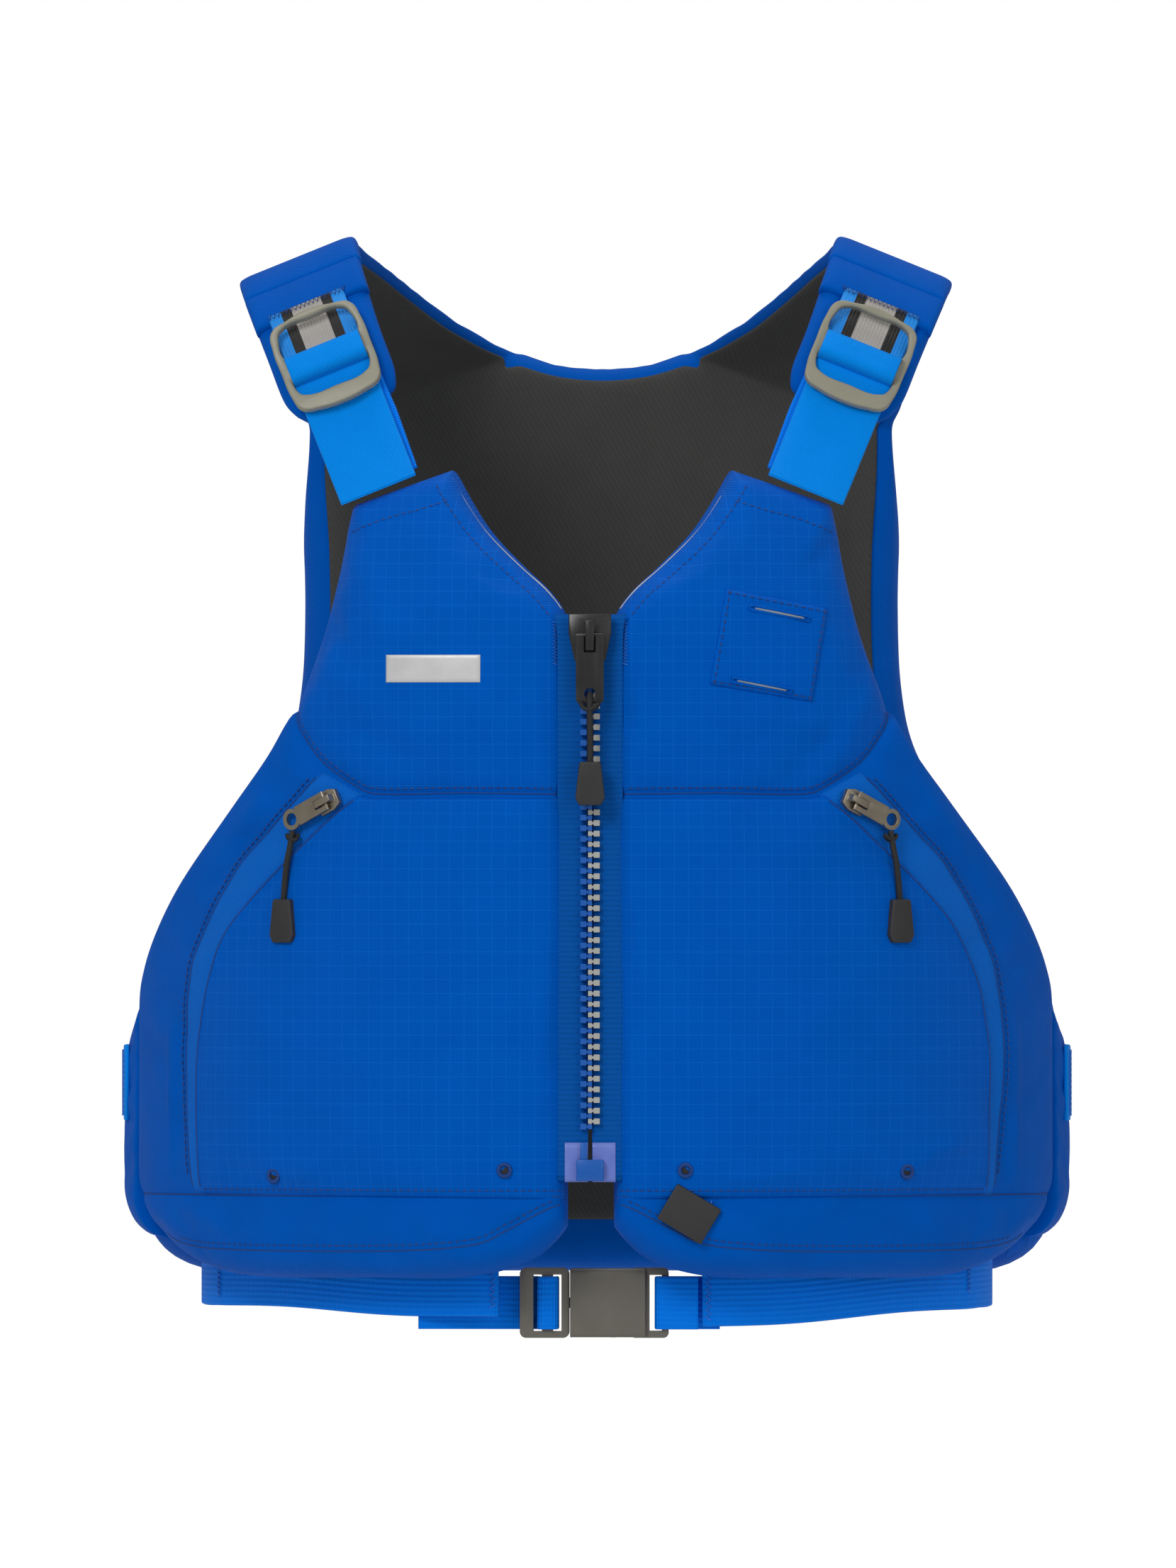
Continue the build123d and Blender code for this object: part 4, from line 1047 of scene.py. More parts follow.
stuff["reflective"] = woven("reflectiveWebbing", {
    "colour": "#b3aea8", "threads": [(90, 1.0), (0, 1.6)], "contrast": 0.05, "fade": 0.03, "rough": 0.45,
                                                  "bump": 0.4,
    "sheen": 0.1, "stripes": [(-19.5, -12.6, "#1492f2"), (-12.6, -7.6, "#262423"), (7.4, 12.6, "#262423"),
                              (12.6, 19.5, "#1492f2")]})
shoulderStrap = {"width": 38.0, "thick": 1.9, "start": -21.0, "foot": -116.0}
adjusterRun = np.interp(math.radians(54.3), archTurn, archRun)
for side, hand in sides.items():
    runs = np.linspace(runTo(shoulderStrap["start"]), adjusterRun - 1.5, 24)
    lift = 1.0 + 3.6 * np.clip((runs - runs[0]) / (runs[-1] - runs[0]) - 0.45, 0, 1) ** 1.5 * 2.2
    tape = archStrap("reflectiveStrap_" + side, side, runs, lift, shoulderStrap["width"],
                     shoulderStrap["thick"])
    finish(tape, "front_" + side, "reflective_tape", "reflective")
    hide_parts("reflective_strap_" + side)
    runs = np.linspace(adjusterRun + 7.0, runTo(shoulderStrap["foot"]), 40)
    share = np.linspace(0, 1, 40)
    lift = 1.2 + 3.0 * (1 - share) ** 2 + 9.0 * share ** 3
    web = archStrap("shoulderWebbing_" + side, side, runs, lift, shoulderStrap["width"], shoulderStrap["thick"])
    finish(web, "front_" + side, "webbing_blue", "webbing")
    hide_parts("shoulder_webbing_" + side)
    tail = archStrap("webbingTail_" + side, side, runs[2:-2], lift[2:-2] - 3.2 - 1.5 * share[2:-2],
                     shoulderStrap["width"] - 1.0, shoulderStrap["thick"],
                     offset=-3.4 + 2.2 * np.abs(share[2:-2] - 0.45))
    finish(tail, "front_" + side, "webbing_blue", "belt")
    # the turn over the adjuster's middle bar: up, over and down as one loop of webbing
    t = np.linspace(-1, 1, 29)
    loopRun = adjusterRun + 1.0 + 7.2 * np.sign(t) * np.abs(t) ** 0.8
    loopLift = 3.4 + 7.4 * np.sqrt(np.clip(1 - np.abs(t) ** 3.2, 0, 1))
    turn = archStrap("webbingTurn_" + side, side, loopRun, loopLift, shoulderStrap["width"] - 0.4, 1.9)
    finish(turn, "front_" + side, "webbing_blue", "webbing")
    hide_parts("webbing_turn_" + side)
print("shoulder webbing made")


# Front zip: tapes, teeth, box and film.
zipShape = {"face": -146.2, "top": -160.0, "foot": -426.0, "tapeTo": 14.5, "firstTooth": -188.0, "pitch": 5.0,
            "count": 43}
for side, hand in sides.items():
    z = np.linspace(zipShape["foot"], zipShape["top"], 60)
    flare = 1.6 * np.clip((z + 172) / 12, 0, 1) ** 2
    middle = np.stack([hand * (0.9 + zipShape["tapeTo"] / 2 + flare), zipShape["face"] + 0.5 + 0.0 * z, z], -1)
    tape = strap("zipTape_" + side, middle, np.tile([hand * 1.0, 0.02, 0], (60, 1)),
                 np.tile([0, -1.0, 0], (60, 1)),
                 zipShape["tapeTo"], 0.9)
    finish(tape, "front_" + side, "zip_tape", "tape")
    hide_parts("zip_tape_" + side)


def newTree(name, inputs):
    # A Geometry Nodes tree that takes a mesh and these named inputs.
    tree = bpy.data.node_groups.new(name, "GeometryNodeTree")
    tree.interface.new_socket("Geometry", in_out="INPUT", socket_type="NodeSocketGeometry")
    for title, kind in inputs:
        tree.interface.new_socket(title, in_out="INPUT", socket_type=kind)
    tree.interface.new_socket("Geometry", in_out="OUTPUT", socket_type="NodeSocketGeometry")
    return tree, addNode(tree, "NodeGroupInput").outputs


def endTree(tree, geometry, material):
    real = addNode(tree, "GeometryNodeRealizeInstances", None, {0: geometry})
    painted = addNode(tree, "GeometryNodeSetMaterial", None, {0: real.outputs[0], "Material": material})
    addNode(tree, "NodeGroupOutput", None, {0: painted.outputs[0]})


def stitchTree():
    # One stitch after another along every line of the mesh.
    tree, given = newTree("stitchRow", [("Pitch", "NodeSocketFloat"), ("Length", "NodeSocketFloat"),
                                        ("Thickness", "NodeSocketFloat"), ("Thread", "NodeSocketMaterial")])
    curve = addNode(tree, "GeometryNodeMeshToCurve", None, {0: given["Geometry"]})
    even = addNode(tree, "GeometryNodeResampleCurve", {"mode": "LENGTH"},
                   {"Curve": curve.outputs[0], "Length": given["Pitch"]})
    stitch = addNode(tree, "GeometryNodeMeshUVSphere", None, {"Segments": 6, "Rings": 4, "Radius": 0.5})
    size = addNode(tree, "ShaderNodeCombineXYZ", None,
                   {0: given["Thickness"], 1: given["Thickness"], 2: given["Length"]})
    tangent = addNode(tree, "GeometryNodeInputTangent")
    turned = addNode(tree, "FunctionNodeAlignRotationToVector", {"axis": "Z"}, {"Vector": tangent.outputs[0]})
    placed = addNode(tree, "GeometryNodeInstanceOnPoints", None,
                     {"Points": even.outputs[0], "Instance": stitch.outputs[0], "Rotation": turned.outputs[0],
                      "Scale": size.outputs[0]})
    endTree(tree, placed.outputs[0], given["Thread"])
    return tree


def toothTree():
    # Moulded teeth along a line: a clamp on the tape, a neck and a wider head.
    tree, given = newTree("zipTeeth",
                          [("Pitch", "NodeSocketFloat"), ("Height", "NodeSocketFloat"),
                           ("Hand", "NodeSocketFloat"),
                                       ("Plastic", "NodeSocketMaterial")])
    curve = addNode(tree, "GeometryNodeMeshToCurve", None, {0: given["Geometry"]})
    even = addNode(tree, "GeometryNodeResampleCurve", {"mode": "LENGTH"},
                   {"Curve": curve.outputs[0], "Length": given["Pitch"]})
    blocks = []
    for centre, width, depth, tall in ((3.15, 2.9, 3.2, 1.0), (1.3, 1.2, 2.4, 0.5), (0.0, 1.9, 2.8, 0.86)):
        high = addNode(tree, "ShaderNodeMath", {"operation": "MULTIPLY"}, {0: given["Height"], 1: tall})
        size = addNode(tree, "ShaderNodeCombineXYZ", None, {0: width * mm, 1: depth * mm, 2: high.outputs[0]})
        block = addNode(tree, "GeometryNodeMeshCube", None, {"Size": size.outputs[0]})
        shift = addNode(tree, "ShaderNodeMath", {"operation": "MULTIPLY"}, {0: given["Hand"], 1: centre * mm})
        place = addNode(tree, "ShaderNodeCombineXYZ", None, {0: shift.outputs[0]})
        blocks.append(addNode(tree, "GeometryNodeTransform", None,
                              {0: block.outputs[0], "Translation": place.outputs[0]}))
    tooth = addNode(tree, "GeometryNodeJoinGeometry")
    for block in blocks:
        tree.links.new(block.outputs[0], tooth.inputs[0])
    placed = addNode(tree, "GeometryNodeInstanceOnPoints", None,
                     {"Points": even.outputs[0], "Instance": tooth.outputs[0]})
    endTree(tree, placed.outputs[0], given["Plastic"])
    return tree


def grow(name, lines, tree, values):
    # Works a tree on a mesh of open lines, points in millimetres, and keeps the plain result.
    points, edges = [], []
    for part in lines:
        edges += [(len(points) + i, len(points) + i + 1) for i in range(len(part) - 1)]
        points += [tuple(np.asarray(p) * mm) for p in part]
    mesh = bpy.data.meshes.new(name)
    mesh.from_pydata(points, edges, [])
    obj = bpy.data.objects.new(name, mesh)
    bpy.context.scene.collection.objects.link(obj)
    step = obj.modifiers.new("grown", "NODES")
    step.node_group = tree
    for item in tree.interface.items_tree:
        if item.in_out == "INPUT" and item.name in values:
            step[item.identifier] = values[item.name]
    return settle(obj)


stitchRows, zipTeeth = stitchTree(), toothTree()
toothY = zipShape["face"] - 0.1 - 1.6
for side, hand, look, slot in (("left", 1, "toothGrey", "zip_teeth_grey"),
                               ("right", -1, "plasticBlue", "zip_plastic_blue")):
    top = zipShape["firstTooth"] - (0 if side == "left" else zipShape["pitch"] / 2)
    foot = top - (zipShape["count"] - 1) * zipShape["pitch"]
    teeth = grow("zipTeeth_" + side, [[(0.0, toothY, top), (0.0, toothY, foot)]], zipTeeth,
                 {"Pitch": zipShape["pitch"] * mm, "Height": 2.7 * mm, "Hand": float(hand),
                  "Plastic": stuff[look]})
    bevel = teeth.modifiers.new("edges", "BEVEL")
    bevel.width, bevel.segments = 0.25 * mm, 2
    settle(teeth)
    finish(teeth, "front_" + side, slot)
    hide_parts("zip_teeth_" + side)


def softened(name, node, width, body, slot, look, segments=2):
    # A moulded or cast part: the CAD node's shape with its edges eased.
    mesh = nodes[node].data.copy()
    shape = bmesh.new()
    shape.from_mesh(mesh)
    bmesh.ops.remove_doubles(shape, verts=shape.verts, dist=0.00002)
    bmesh.ops.dissolve_limit(shape, angle_limit=math.radians(2), verts=shape.verts, edges=shape.edges)
    shape.to_mesh(mesh)
    shape.free()
    mesh.polygons.foreach_set("use_smooth", [False] * len(mesh.polygons))
    obj = bpy.data.objects.new(name, mesh)
    bpy.context.scene.collection.objects.link(obj)
    mesh.name = name
    bevel = obj.modifiers.new("edges", "BEVEL")
    bevel.width, bevel.segments = width * mm, segments
    bevel.limit_method, bevel.angle_limit = "ANGLE", math.radians(32)
    bevel.harden_normals = False
    settle(obj)
    obj.data.polygons.foreach_set("use_smooth", [True] * len(obj.data.polygons))
    obj.data.set_sharp_from_angle(angle=math.radians(34))
    finish(obj, body, slot, look)
    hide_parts(node)
    return obj


softened("zipBox", "zip_box", 0.5, "front_left", "zip_plastic_blue", "plasticBlue")
softened("zipPin", "zip_pin", 0.3, "front_right", "zip_plastic_blue", "plasticBlue")
softened("mainSlider", "zip_slider", 0.45, "main_slider", "slider_black", "enamel")
softened("mainPuller", "zip_puller", 0.4, "main_puller", "slider_black", "enamel")
for side in sides:
    softened("pocketSlider_" + side, "pocket_slider_" + side, 0.35, "pocket_slider_" + side, "slider_gunmetal",
             "gunmetal")
    softened("pocketPuller_" + side, "pocket_puller_" + side, 0.3, "pocket_puller_" + side, "slider_gunmetal",
             "gunmetal")
for name, node, body in (("buckleBody", "buckle_body", "back"),
                         ("buckleInsert", "buckle_insert", "buckle_half"),
                         ("releaseArmUpper", "release_arm_upper", "arm_upper"),
                         ("releaseArmLower", "release_arm_lower", "arm_lower")):
    softened(name, node, 0.6, body, "buckle_acetal", "buckle")
for side, hand in sides.items():
    z = np.linspace(-408, -426.5, 8)
    film = strap("zipFilm_" + side,
                 np.stack([hand * (1.0 + 5.5 + 0 * z), zipShape["face"] - 0.15 + 0 * z, z], -1),
                 np.tile([hand * 1.0, 0, 0], (8, 1)), np.tile([0, -1.0, 0], (8, 1)), 11.0, 0.5)
    finish(film, "front_" + side, "zip_plastic_blue", "film")
print("zips made")


# The cords' tabs, and each cord with its tab.
def pullCord(name, body, node, tabName, tabNode):
    obj = cords[name]
    finish(obj, body, "pull_cord", "cord")
    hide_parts(node)
    tab = softened(tabName, tabNode, 0.9, body, "pull_tab_rubber", "rubber", 3)


pullCord("zipPullCord", "main_puller", "zip_pull_cord", "zipPullTab", "zip_pull_tab")
for side in sides:
    pullCord("pocketPullCord_" + side, "pocket_pull_" + side, "pocket_pull_cord_" + side,
             "pocketPullTab_" + side,
             "pocket_pull_tab_" + side)


def tube(name, points, radius, around=8, flat=1.0):
    # A round or oval line through a few points.
    p = np.asarray(points, float)
    along = np.gradient(p, axis=0)
    along /= np.linalg.norm(along, axis=1, keepdims=True)
    up = np.array([0.31, 0.17, 0.93]) if abs(along[0, 2]) < 0.9 else np.array([0.2, 0.97, 0.1])
    side = np.cross(along, up)
    side /= np.linalg.norm(side, axis=1, keepdims=True)
    up = np.cross(side, along)
    angle = np.linspace(0, 2 * math.pi, around, endpoint=False)[None, :, None]
    ring = p[:, None] + radius * (np.cos(angle) * side[:, None] + flat * np.sin(angle) * up[:, None])
    numbers = np.arange(len(p) * around).reshape(len(p), around)
    after = np.roll(numbers, -1, axis=1)
    faces = np.stack([numbers[:-1], numbers[1:], after[1:], after[:-1]], -1).reshape(-1, 4).tolist()
    faces += [numbers[0].tolist(), numbers[-1][::-1].tolist()]
    run = np.concatenate([[0], np.cumsum(np.linalg.norm(np.diff(p, axis=0), axis=1))])
    cloth = np.stack([np.broadcast_to(angle[..., 0] * radius, ring.shape[:2]),
                      np.broadcast_to(run[:, None], ring.shape[:2])], -1)
    obj = makeMesh(name, ring.reshape(-1, 3), faces, cloth.reshape(-1, 2))
    shape = bmesh.new()
    shape.from_mesh(obj.data)
    bmesh.ops.recalc_face_normals(shape, faces=shape.faces)
    shape.to_mesh(obj.data)
    shape.free()
    return obj


turn = np.linspace(0, 2 * math.pi, 25)
knot = tube("zipCordKnot", np.stack([4.2 * np.cos(turn), cordShape["pullerLine"] - 3.0 - 1.4 * np.sin(turn),
                                    -203.4 + 1.4 * np.sin(turn * 2 + 1.2)], -1), 0.95)
finish(knot, "main_puller", "pull_cord", "cord")
for side, hand in sides.items():
    start = np.array(cordShape["pocket"][0]) * [hand, 1, 1]
    knot = tube("pocketCordKnot_" + side,
                start + np.stack([3.4 * np.cos(turn) * 0.8,
                                  3.4 * np.cos(turn) * 0.6 * hand + 1.6 * np.sin(turn),
                                                           -3.0 + 1.2 * np.sin(turn * 2 + 1.0)], -1), 0.9)
    finish(knot, "pocket_pull_" + side, "pull_cord", "cord")
print("cords made")


# Belts, side straps and buckle webbing.
beltShape = {"inset": 34.6, "width": 37.0, "thick": 1.8, "middle": -471.4}
for side, hand, start, rise in (("right", -1, 44.0, (-1.0, 4.5)), ("left", 1, 52.0, (-5.5, 3.5))):
    s = np.linspace(roundTo(start * longRadius / (longRadius - beltShape["inset"])), halfRound - roundTo(186.0),
                    70)
    share = np.clip((s - s[0]) / 190.0, 0, 1)
    z = beltShape["middle"] + rise[0] * (1 - share) + rise[1] * share + 0.8 * np.sin(s / 23.0)
    middle, normal = skinAt(hand * s, z, beltShape["inset"], False)
    up = np.tile([0, 0, 1.0], (len(s), 1))
    belt = strap("waistBelt_" + side, middle, up, normal, beltShape["width"], beltShape["thick"])
    finish(belt, "back", "webbing_blue", "belt")
    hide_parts("belt_" + side)
    s = np.linspace(torso["frontEdge"] + 12, torso["backEdge"] + 32, 24)
    middle, normal = skinAt(hand * s, -381.0 + 0 * s, -1.9 - 0.8 * np.sin(np.linspace(0, math.pi, 24)), False)
    patchStrap = strap("sideStrap_" + side, middle, np.tile([0, 0, 1.0], (24, 1)), normal, 36.0, 1.8)
    finish(patchStrap, "back", "webbing_blue", "webbing")
    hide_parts("side_strap_" + side)

buckle = {"y": -102.5, "z": -483.8}
webLines = {
    "buckleWebbing_left": [(60, 4.2), (48, 4.2), (37, 3.6), (31.5, 3.3), (30.2, 0), (31.5, -3.3), (37, -3.9),
                           (50, -4.6)],
    "buckleWebbing_right": [(-82, 7.6), (-60, 6.6), (-44, 5.4), (-34, 5.0), (-27, 4.9), (-25.6, 3.0),
                            (-24.9, -3.0), (-23.5, -4.9), (-21, -5.1),
                            (-18.5, -4.9), (-16.8, -3.0), (-16.4, 3.2)],
}
for name, route in webLines.items():
    flatLine = smoothLine(route, 60)
    middle = np.stack([flatLine[:, 0], buckle["y"] + flatLine[:, 1], buckle["z"] + 0 * flatLine[:, 0]], -1)
    along = np.gradient(middle, axis=0)
    along /= np.linalg.norm(along, axis=1, keepdims=True)
    up = np.tile([0, 0, 1.0], (60, 1))
    web = strap(name, middle, up, np.cross(along, up), 25.0, 1.7)
    finish(web, "back" if "left" in name else None, "webbing_blue", "belt")
    if "right" in name:  # its turn wraps round the insert; this piece is fixed to no body
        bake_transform(web)
    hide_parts("buckle_webbing_" + name.split("_")[1])
print("belts made")


# Shoulder adjusters: cast frames with a bowed bar at each end.
frameShape = {
    "outline": [(-12, -26), (0, -27.6), (12, -26), (21.5, -23.0), (24, -14), (24.2, 0), (23.6, 15), (21, 23),
                (12, 26.2),
                (0, 27.4), (-12, 26.2), (-21, 23), (-23.6, 15), (-24.2, 0), (-24, -14), (-21.5, -23.0)],
    "upperWindow": [(-17, -22.0), (0, -23.4), (17, -22.0), (19.6, -18), (19.8, -6.5), (18, -4.6), (0, -4.4),
                    (-18, -4.6),
                    (-19.8, -6.5), (-19.6, -18)],
    "lowerWindow": [(-18, 4.6), (0, 4.4), (18, 4.6), (19.8, 6.5), (19.4, 13), (17, 15.8), (0, 17.4),
                    (-17, 15.8),
                    (-19.4, 13), (-19.8, 6.5)],
    "height": 4.8, "edge": 1.1, "bow": 2.0, "across": 0.93, "along": 0.92,
}


def castFrame(name, side):
    curve = bpy.data.curves.new(name, "CURVE")
    curve.dimensions = "2D"
    curve.fill_mode = "BOTH"
    for key in ("outline", "upperWindow", "lowerWindow"):
        loop = frameShape[key]
        spline = curve.splines.new("BEZIER")
        spline.bezier_points.add(len(loop) - 1)
        for point, place in zip(spline.bezier_points, loop):
            point.co = (place[0], place[1], 0)
            point.handle_left_type = point.handle_right_type = "AUTO"
        spline.use_cyclic_u = True
        spline.resolution_u = 5
    curve.extrude = frameShape["height"] / 2 - frameShape["edge"]
    curve.bevel_depth = frameShape["edge"]
    curve.bevel_resolution = 2
    curve.offset = -frameShape["edge"]
    flat = bpy.data.objects.new(name + "Flat", curve)
    bpy.context.scene.collection.objects.link(flat)
    mesh = bpy.data.meshes.new_from_object(flat.evaluated_get(bpy.context.evaluated_depsgraph_get()))
    bpy.data.objects.remove(flat)
    mesh.name = name
    obj = bpy.data.objects.new(name, mesh)
    bpy.context.scene.collection.objects.link(obj)
    shape = bmesh.new()
    shape.from_mesh(mesh)
    bmesh.ops.remove_doubles(shape, verts=shape.verts, dist=0.01)
    bmesh.ops.recalc_face_normals(shape, faces=shape.faces)
    hand = sides[side]
    lift = 2.6 + frameShape["height"] / 2
    centre, aside, along, above = (onArch(arch["strapMiddle"] + x, adjusterRun + v, lift + h, hand)
                                   for x, v, h in ((0, 0, 0), (1, 0, 0), (0, 1, 0), (0, 0, 1)))
    axes = [d / np.linalg.norm(d) for d in (aside - centre, along - centre, above - centre)]
    for vert in shape.verts:
        u, v, h = vert.co[0] * frameShape["across"], vert.co[1] * frameShape["along"], vert.co[2]
        h += frameShape["bow"] * (v / 26) ** 2 - 0.6
        vert.co = Vector((centre + u * axes[0] + v * axes[1] + h * axes[2]) * mm)
    bmesh.ops.recalc_face_normals(shape, faces=shape.faces)
    shape.to_mesh(mesh)
    shape.free()
    mesh.polygons.foreach_set("use_smooth", [True] * len(mesh.polygons))
    mesh.set_sharp_from_angle(angle=math.radians(40))
    return obj


for side in sides:
    frame = castFrame("adjusterFrame_" + side, side)
    finish(frame, "adjuster_" + side, "adjuster_acetal", "adjuster")
    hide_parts("adjuster_" + side)
print("adjusters made")


# Small pieces on the front.
def layOn(side, points, lift=0.0, skin=None):
    # Front-view X, Z points laid on a front half, or on its pocket.
    return drape((skin or frontSkin)[side], onSkin(points), lift)


eyelet = {"at": [(-147, -424), (-39.5, -421), (44, -421), (145, -422)], "ring": 2.75, "cord": 0.95,
          "ridges": 22,
          "steps": 110, "around": 10}
steps, around = eyelet["steps"], eyelet["around"]
for side, hand in sides.items():
    points, faces, holeShadeFaces = [], [], []
    for x, z in eyelet["at"]:
        if x * hand < 0:
            continue
        centre, above = layOn(side, [(x, z)], 0.0, pocketSkin)[0], layOn(side, [(x, z)], 1.0, pocketSkin)[0]
        above = (above - centre) / np.linalg.norm(above - centre)
        right = np.cross(above, [0, 0, 1.0])
        right /= np.linalg.norm(right)
        up = np.cross(right, above)
        a = np.linspace(0, 2 * math.pi, steps, endpoint=False)[:, None, None]
        b = np.linspace(0, 2 * math.pi, around, endpoint=False)[None, :, None]
        r = eyelet["cord"] * (1 + 0.2 * np.cos(eyelet["ridges"] * a))
        out = np.cos(a) * right + np.sin(a) * up
        ring = centre + (eyelet["ring"] + r * np.cos(b)) * out + (0.25 + 0.8 * r * np.sin(b)) * above
        first = len(points)
        numbers = first + np.arange(steps * around).reshape(steps, around)
        ahead, onward = np.roll(numbers, -1, axis=0), np.roll(numbers, -1, axis=1)
        both = np.roll(ahead, -1, axis=1)
        points += ring.reshape(-1, 3).tolist()
        faces += np.stack([numbers, ahead, both, onward], -1).reshape(-1, 4).tolist()
        # a flat disc across the ring's opening, in the cord's black: painted shade for the inside of the drain
        # hole
        first = len(points)
        points += (centre + eyelet["ring"] * out[::around, 0] + 0.12 * above).tolist()
        holeShadeFaces.append(len(faces))
        faces.append(list(range(first, len(points))))
    ringMesh = makeMesh("drainEyelets_" + side, points, faces)
    shape = bmesh.new()
    shape.from_mesh(ringMesh.data)
    bmesh.ops.recalc_face_normals(shape, faces=[f for f in shape.faces if len(f.verts) == 4])
    shape.to_mesh(ringMesh.data)
    shape.free()
    finish(ringMesh, "front_" + side, "eyelet_thread", "thread", "cord")
    # the discs take the second material, black, as painted shade in the holes
    for index in holeShadeFaces:
        ringMesh.data.polygons[index].material_index = 1
    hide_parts("drain_eyelets_" + side)

lash = {"corners": [(63, -148), (110, -157.5), (102.6, -201), (55.5, -193)],
        "slots": [(87.2, -159.5), (79.0, -193.5)],
        "width": 26.0, "gap": 2.2, "turn": -11.5, "thick": 1.5}
a, b, c, d = (onSkin([corner]) for corner in lash["corners"])
lashGrid = patch(np.concatenate([d, c]), np.concatenate([a, b]), np.concatenate([d, a]), np.concatenate([c, b]),
                 shares(18, [0.02, 0.05], [0.02, 0.05]), shares(18, [0.02, 0.05], [0.02, 0.05]))
lashPatch = laidSheet("lashPatch", frontSkin["left"], lashGrid, lash["thick"], sink=0.8, soften=1)
finish(lashPatch, "front_left", "webbing_blue", "ripstop")
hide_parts("lash_patch")
tilt = math.radians(lash["turn"])


def tilted(centre, points):
    p = np.asarray(points, float)
    return np.stack([centre[0] + p[:, 0] * math.cos(tilt) - p[:, 1] * math.sin(tilt),
                     centre[1] + p[:, 0] * math.sin(tilt) + p[:, 1] * math.cos(tilt)], -1)


for count, centre in enumerate(lash["slots"]):
    half, gap = lash["width"] / 2, lash["gap"] / 2
    low, high = tilted(centre, [(-half, -gap), (half, -gap)]), tilted(centre, [(-half, gap), (half, gap)])
    grid = patch(onSkin(low), onSkin(high), onSkin([low[0], high[0]]), onSkin([low[1], high[1]]),
                 np.linspace(0, 1, 14),
                 np.linspace(0, 1, 4))
    hole = laidSheet(f"lashSlot_{count}", frontSkin["left"], grid, lash["thick"] + 0.25, sink=0.2)
    finish(hole, "front_left", "webbing_blue", "slotGrey")
    bend = np.linspace(-math.pi / 2, math.pi / 2, 7)
    edge = [(half + gap * math.cos(q), gap * math.sin(q)) for q in bend]
    edge += [(-half - gap * math.cos(q), -gap * math.sin(q)) for q in bend]
    rim = tube(f"lashSlotRim_{count}", layOn("left", tilted(centre, edge + edge[:1]), lash["thick"] + 0.25),
               0.75)
    finish(rim, "front_left", "webbing_blue", "ripstop")

softened("gripTab", "grip_tab", 0.8, "front_left", "grip_tab_rubber", "rubber", 3)
markGrid = patch(onSkin([(51, -192), (95, -192)]), onSkin([(51, -179), (95, -179)]),
                 onSkin([(51, -192), (51, -179)]),
                 onSkin([(95, -192), (95, -179)]), shares(20, [0.02, 0.05], [0.02, 0.05]),
                 shares(8, [0.05, 0.15], [0.05, 0.15]))
mark = laidSheet("reflectiveMark", frontSkin["right"], forSide(markGrid, "right"), 0.35, sink=0.5)
finish(mark, "front_right", "reflective_tape", "silver")
print("small pieces made")


# Stitching.
def threadTree():
    # A thread swept along every line of the mesh.
    tree, given = newTree("threadLine", [("Thickness", "NodeSocketFloat"), ("Thread", "NodeSocketMaterial")])
    curve = addNode(tree, "GeometryNodeMeshToCurve", None, {0: given["Geometry"]})
    section = addNode(tree, "GeometryNodeCurvePrimitiveCircle", None,
                      {"Resolution": 6, "Radius": given["Thickness"]})
    swept = addNode(tree, "GeometryNodeCurveToMesh", None,
                    {"Curve": curve.outputs[0], "Profile Curve": section.outputs[0],
                                                            "Fill Caps": True})
    endTree(tree, swept.outputs[0], given["Thread"])
    return tree


threadLines = threadTree()


def zigzag(start, end, width, pitch):
    # Points that swing from side to side of a straight line.
    start, end = np.array(start, float), np.array(end, float)
    count = int(np.linalg.norm(end - start) / pitch)
    along = (end - start) / np.linalg.norm(end - start)
    aside = np.array([along[1], -along[0]])
    return [start + along * pitch * i + aside * width / 2 * (-1) ** i for i in range(count + 1)]


def offsetLine(points, distance):
    # A line beside another, in the plane of the cloth.
    p = np.asarray(points, float)
    along = np.gradient(p, axis=0)
    along /= np.linalg.norm(along, axis=1, keepdims=True)
    return p + distance * np.stack([-along[:, 1], along[:, 0]], -1)


def finely(points, step=2.0):
    p = np.asarray(points, float)
    run = np.concatenate([[0], np.cumsum(np.linalg.norm(np.diff(p, axis=0), axis=1))])
    at = np.linspace(0, run[-1], max(int(run[-1] / step), 2))
    return np.stack([np.interp(at, run, p[:, 0]), np.interp(at, run, p[:, 1])], -1)


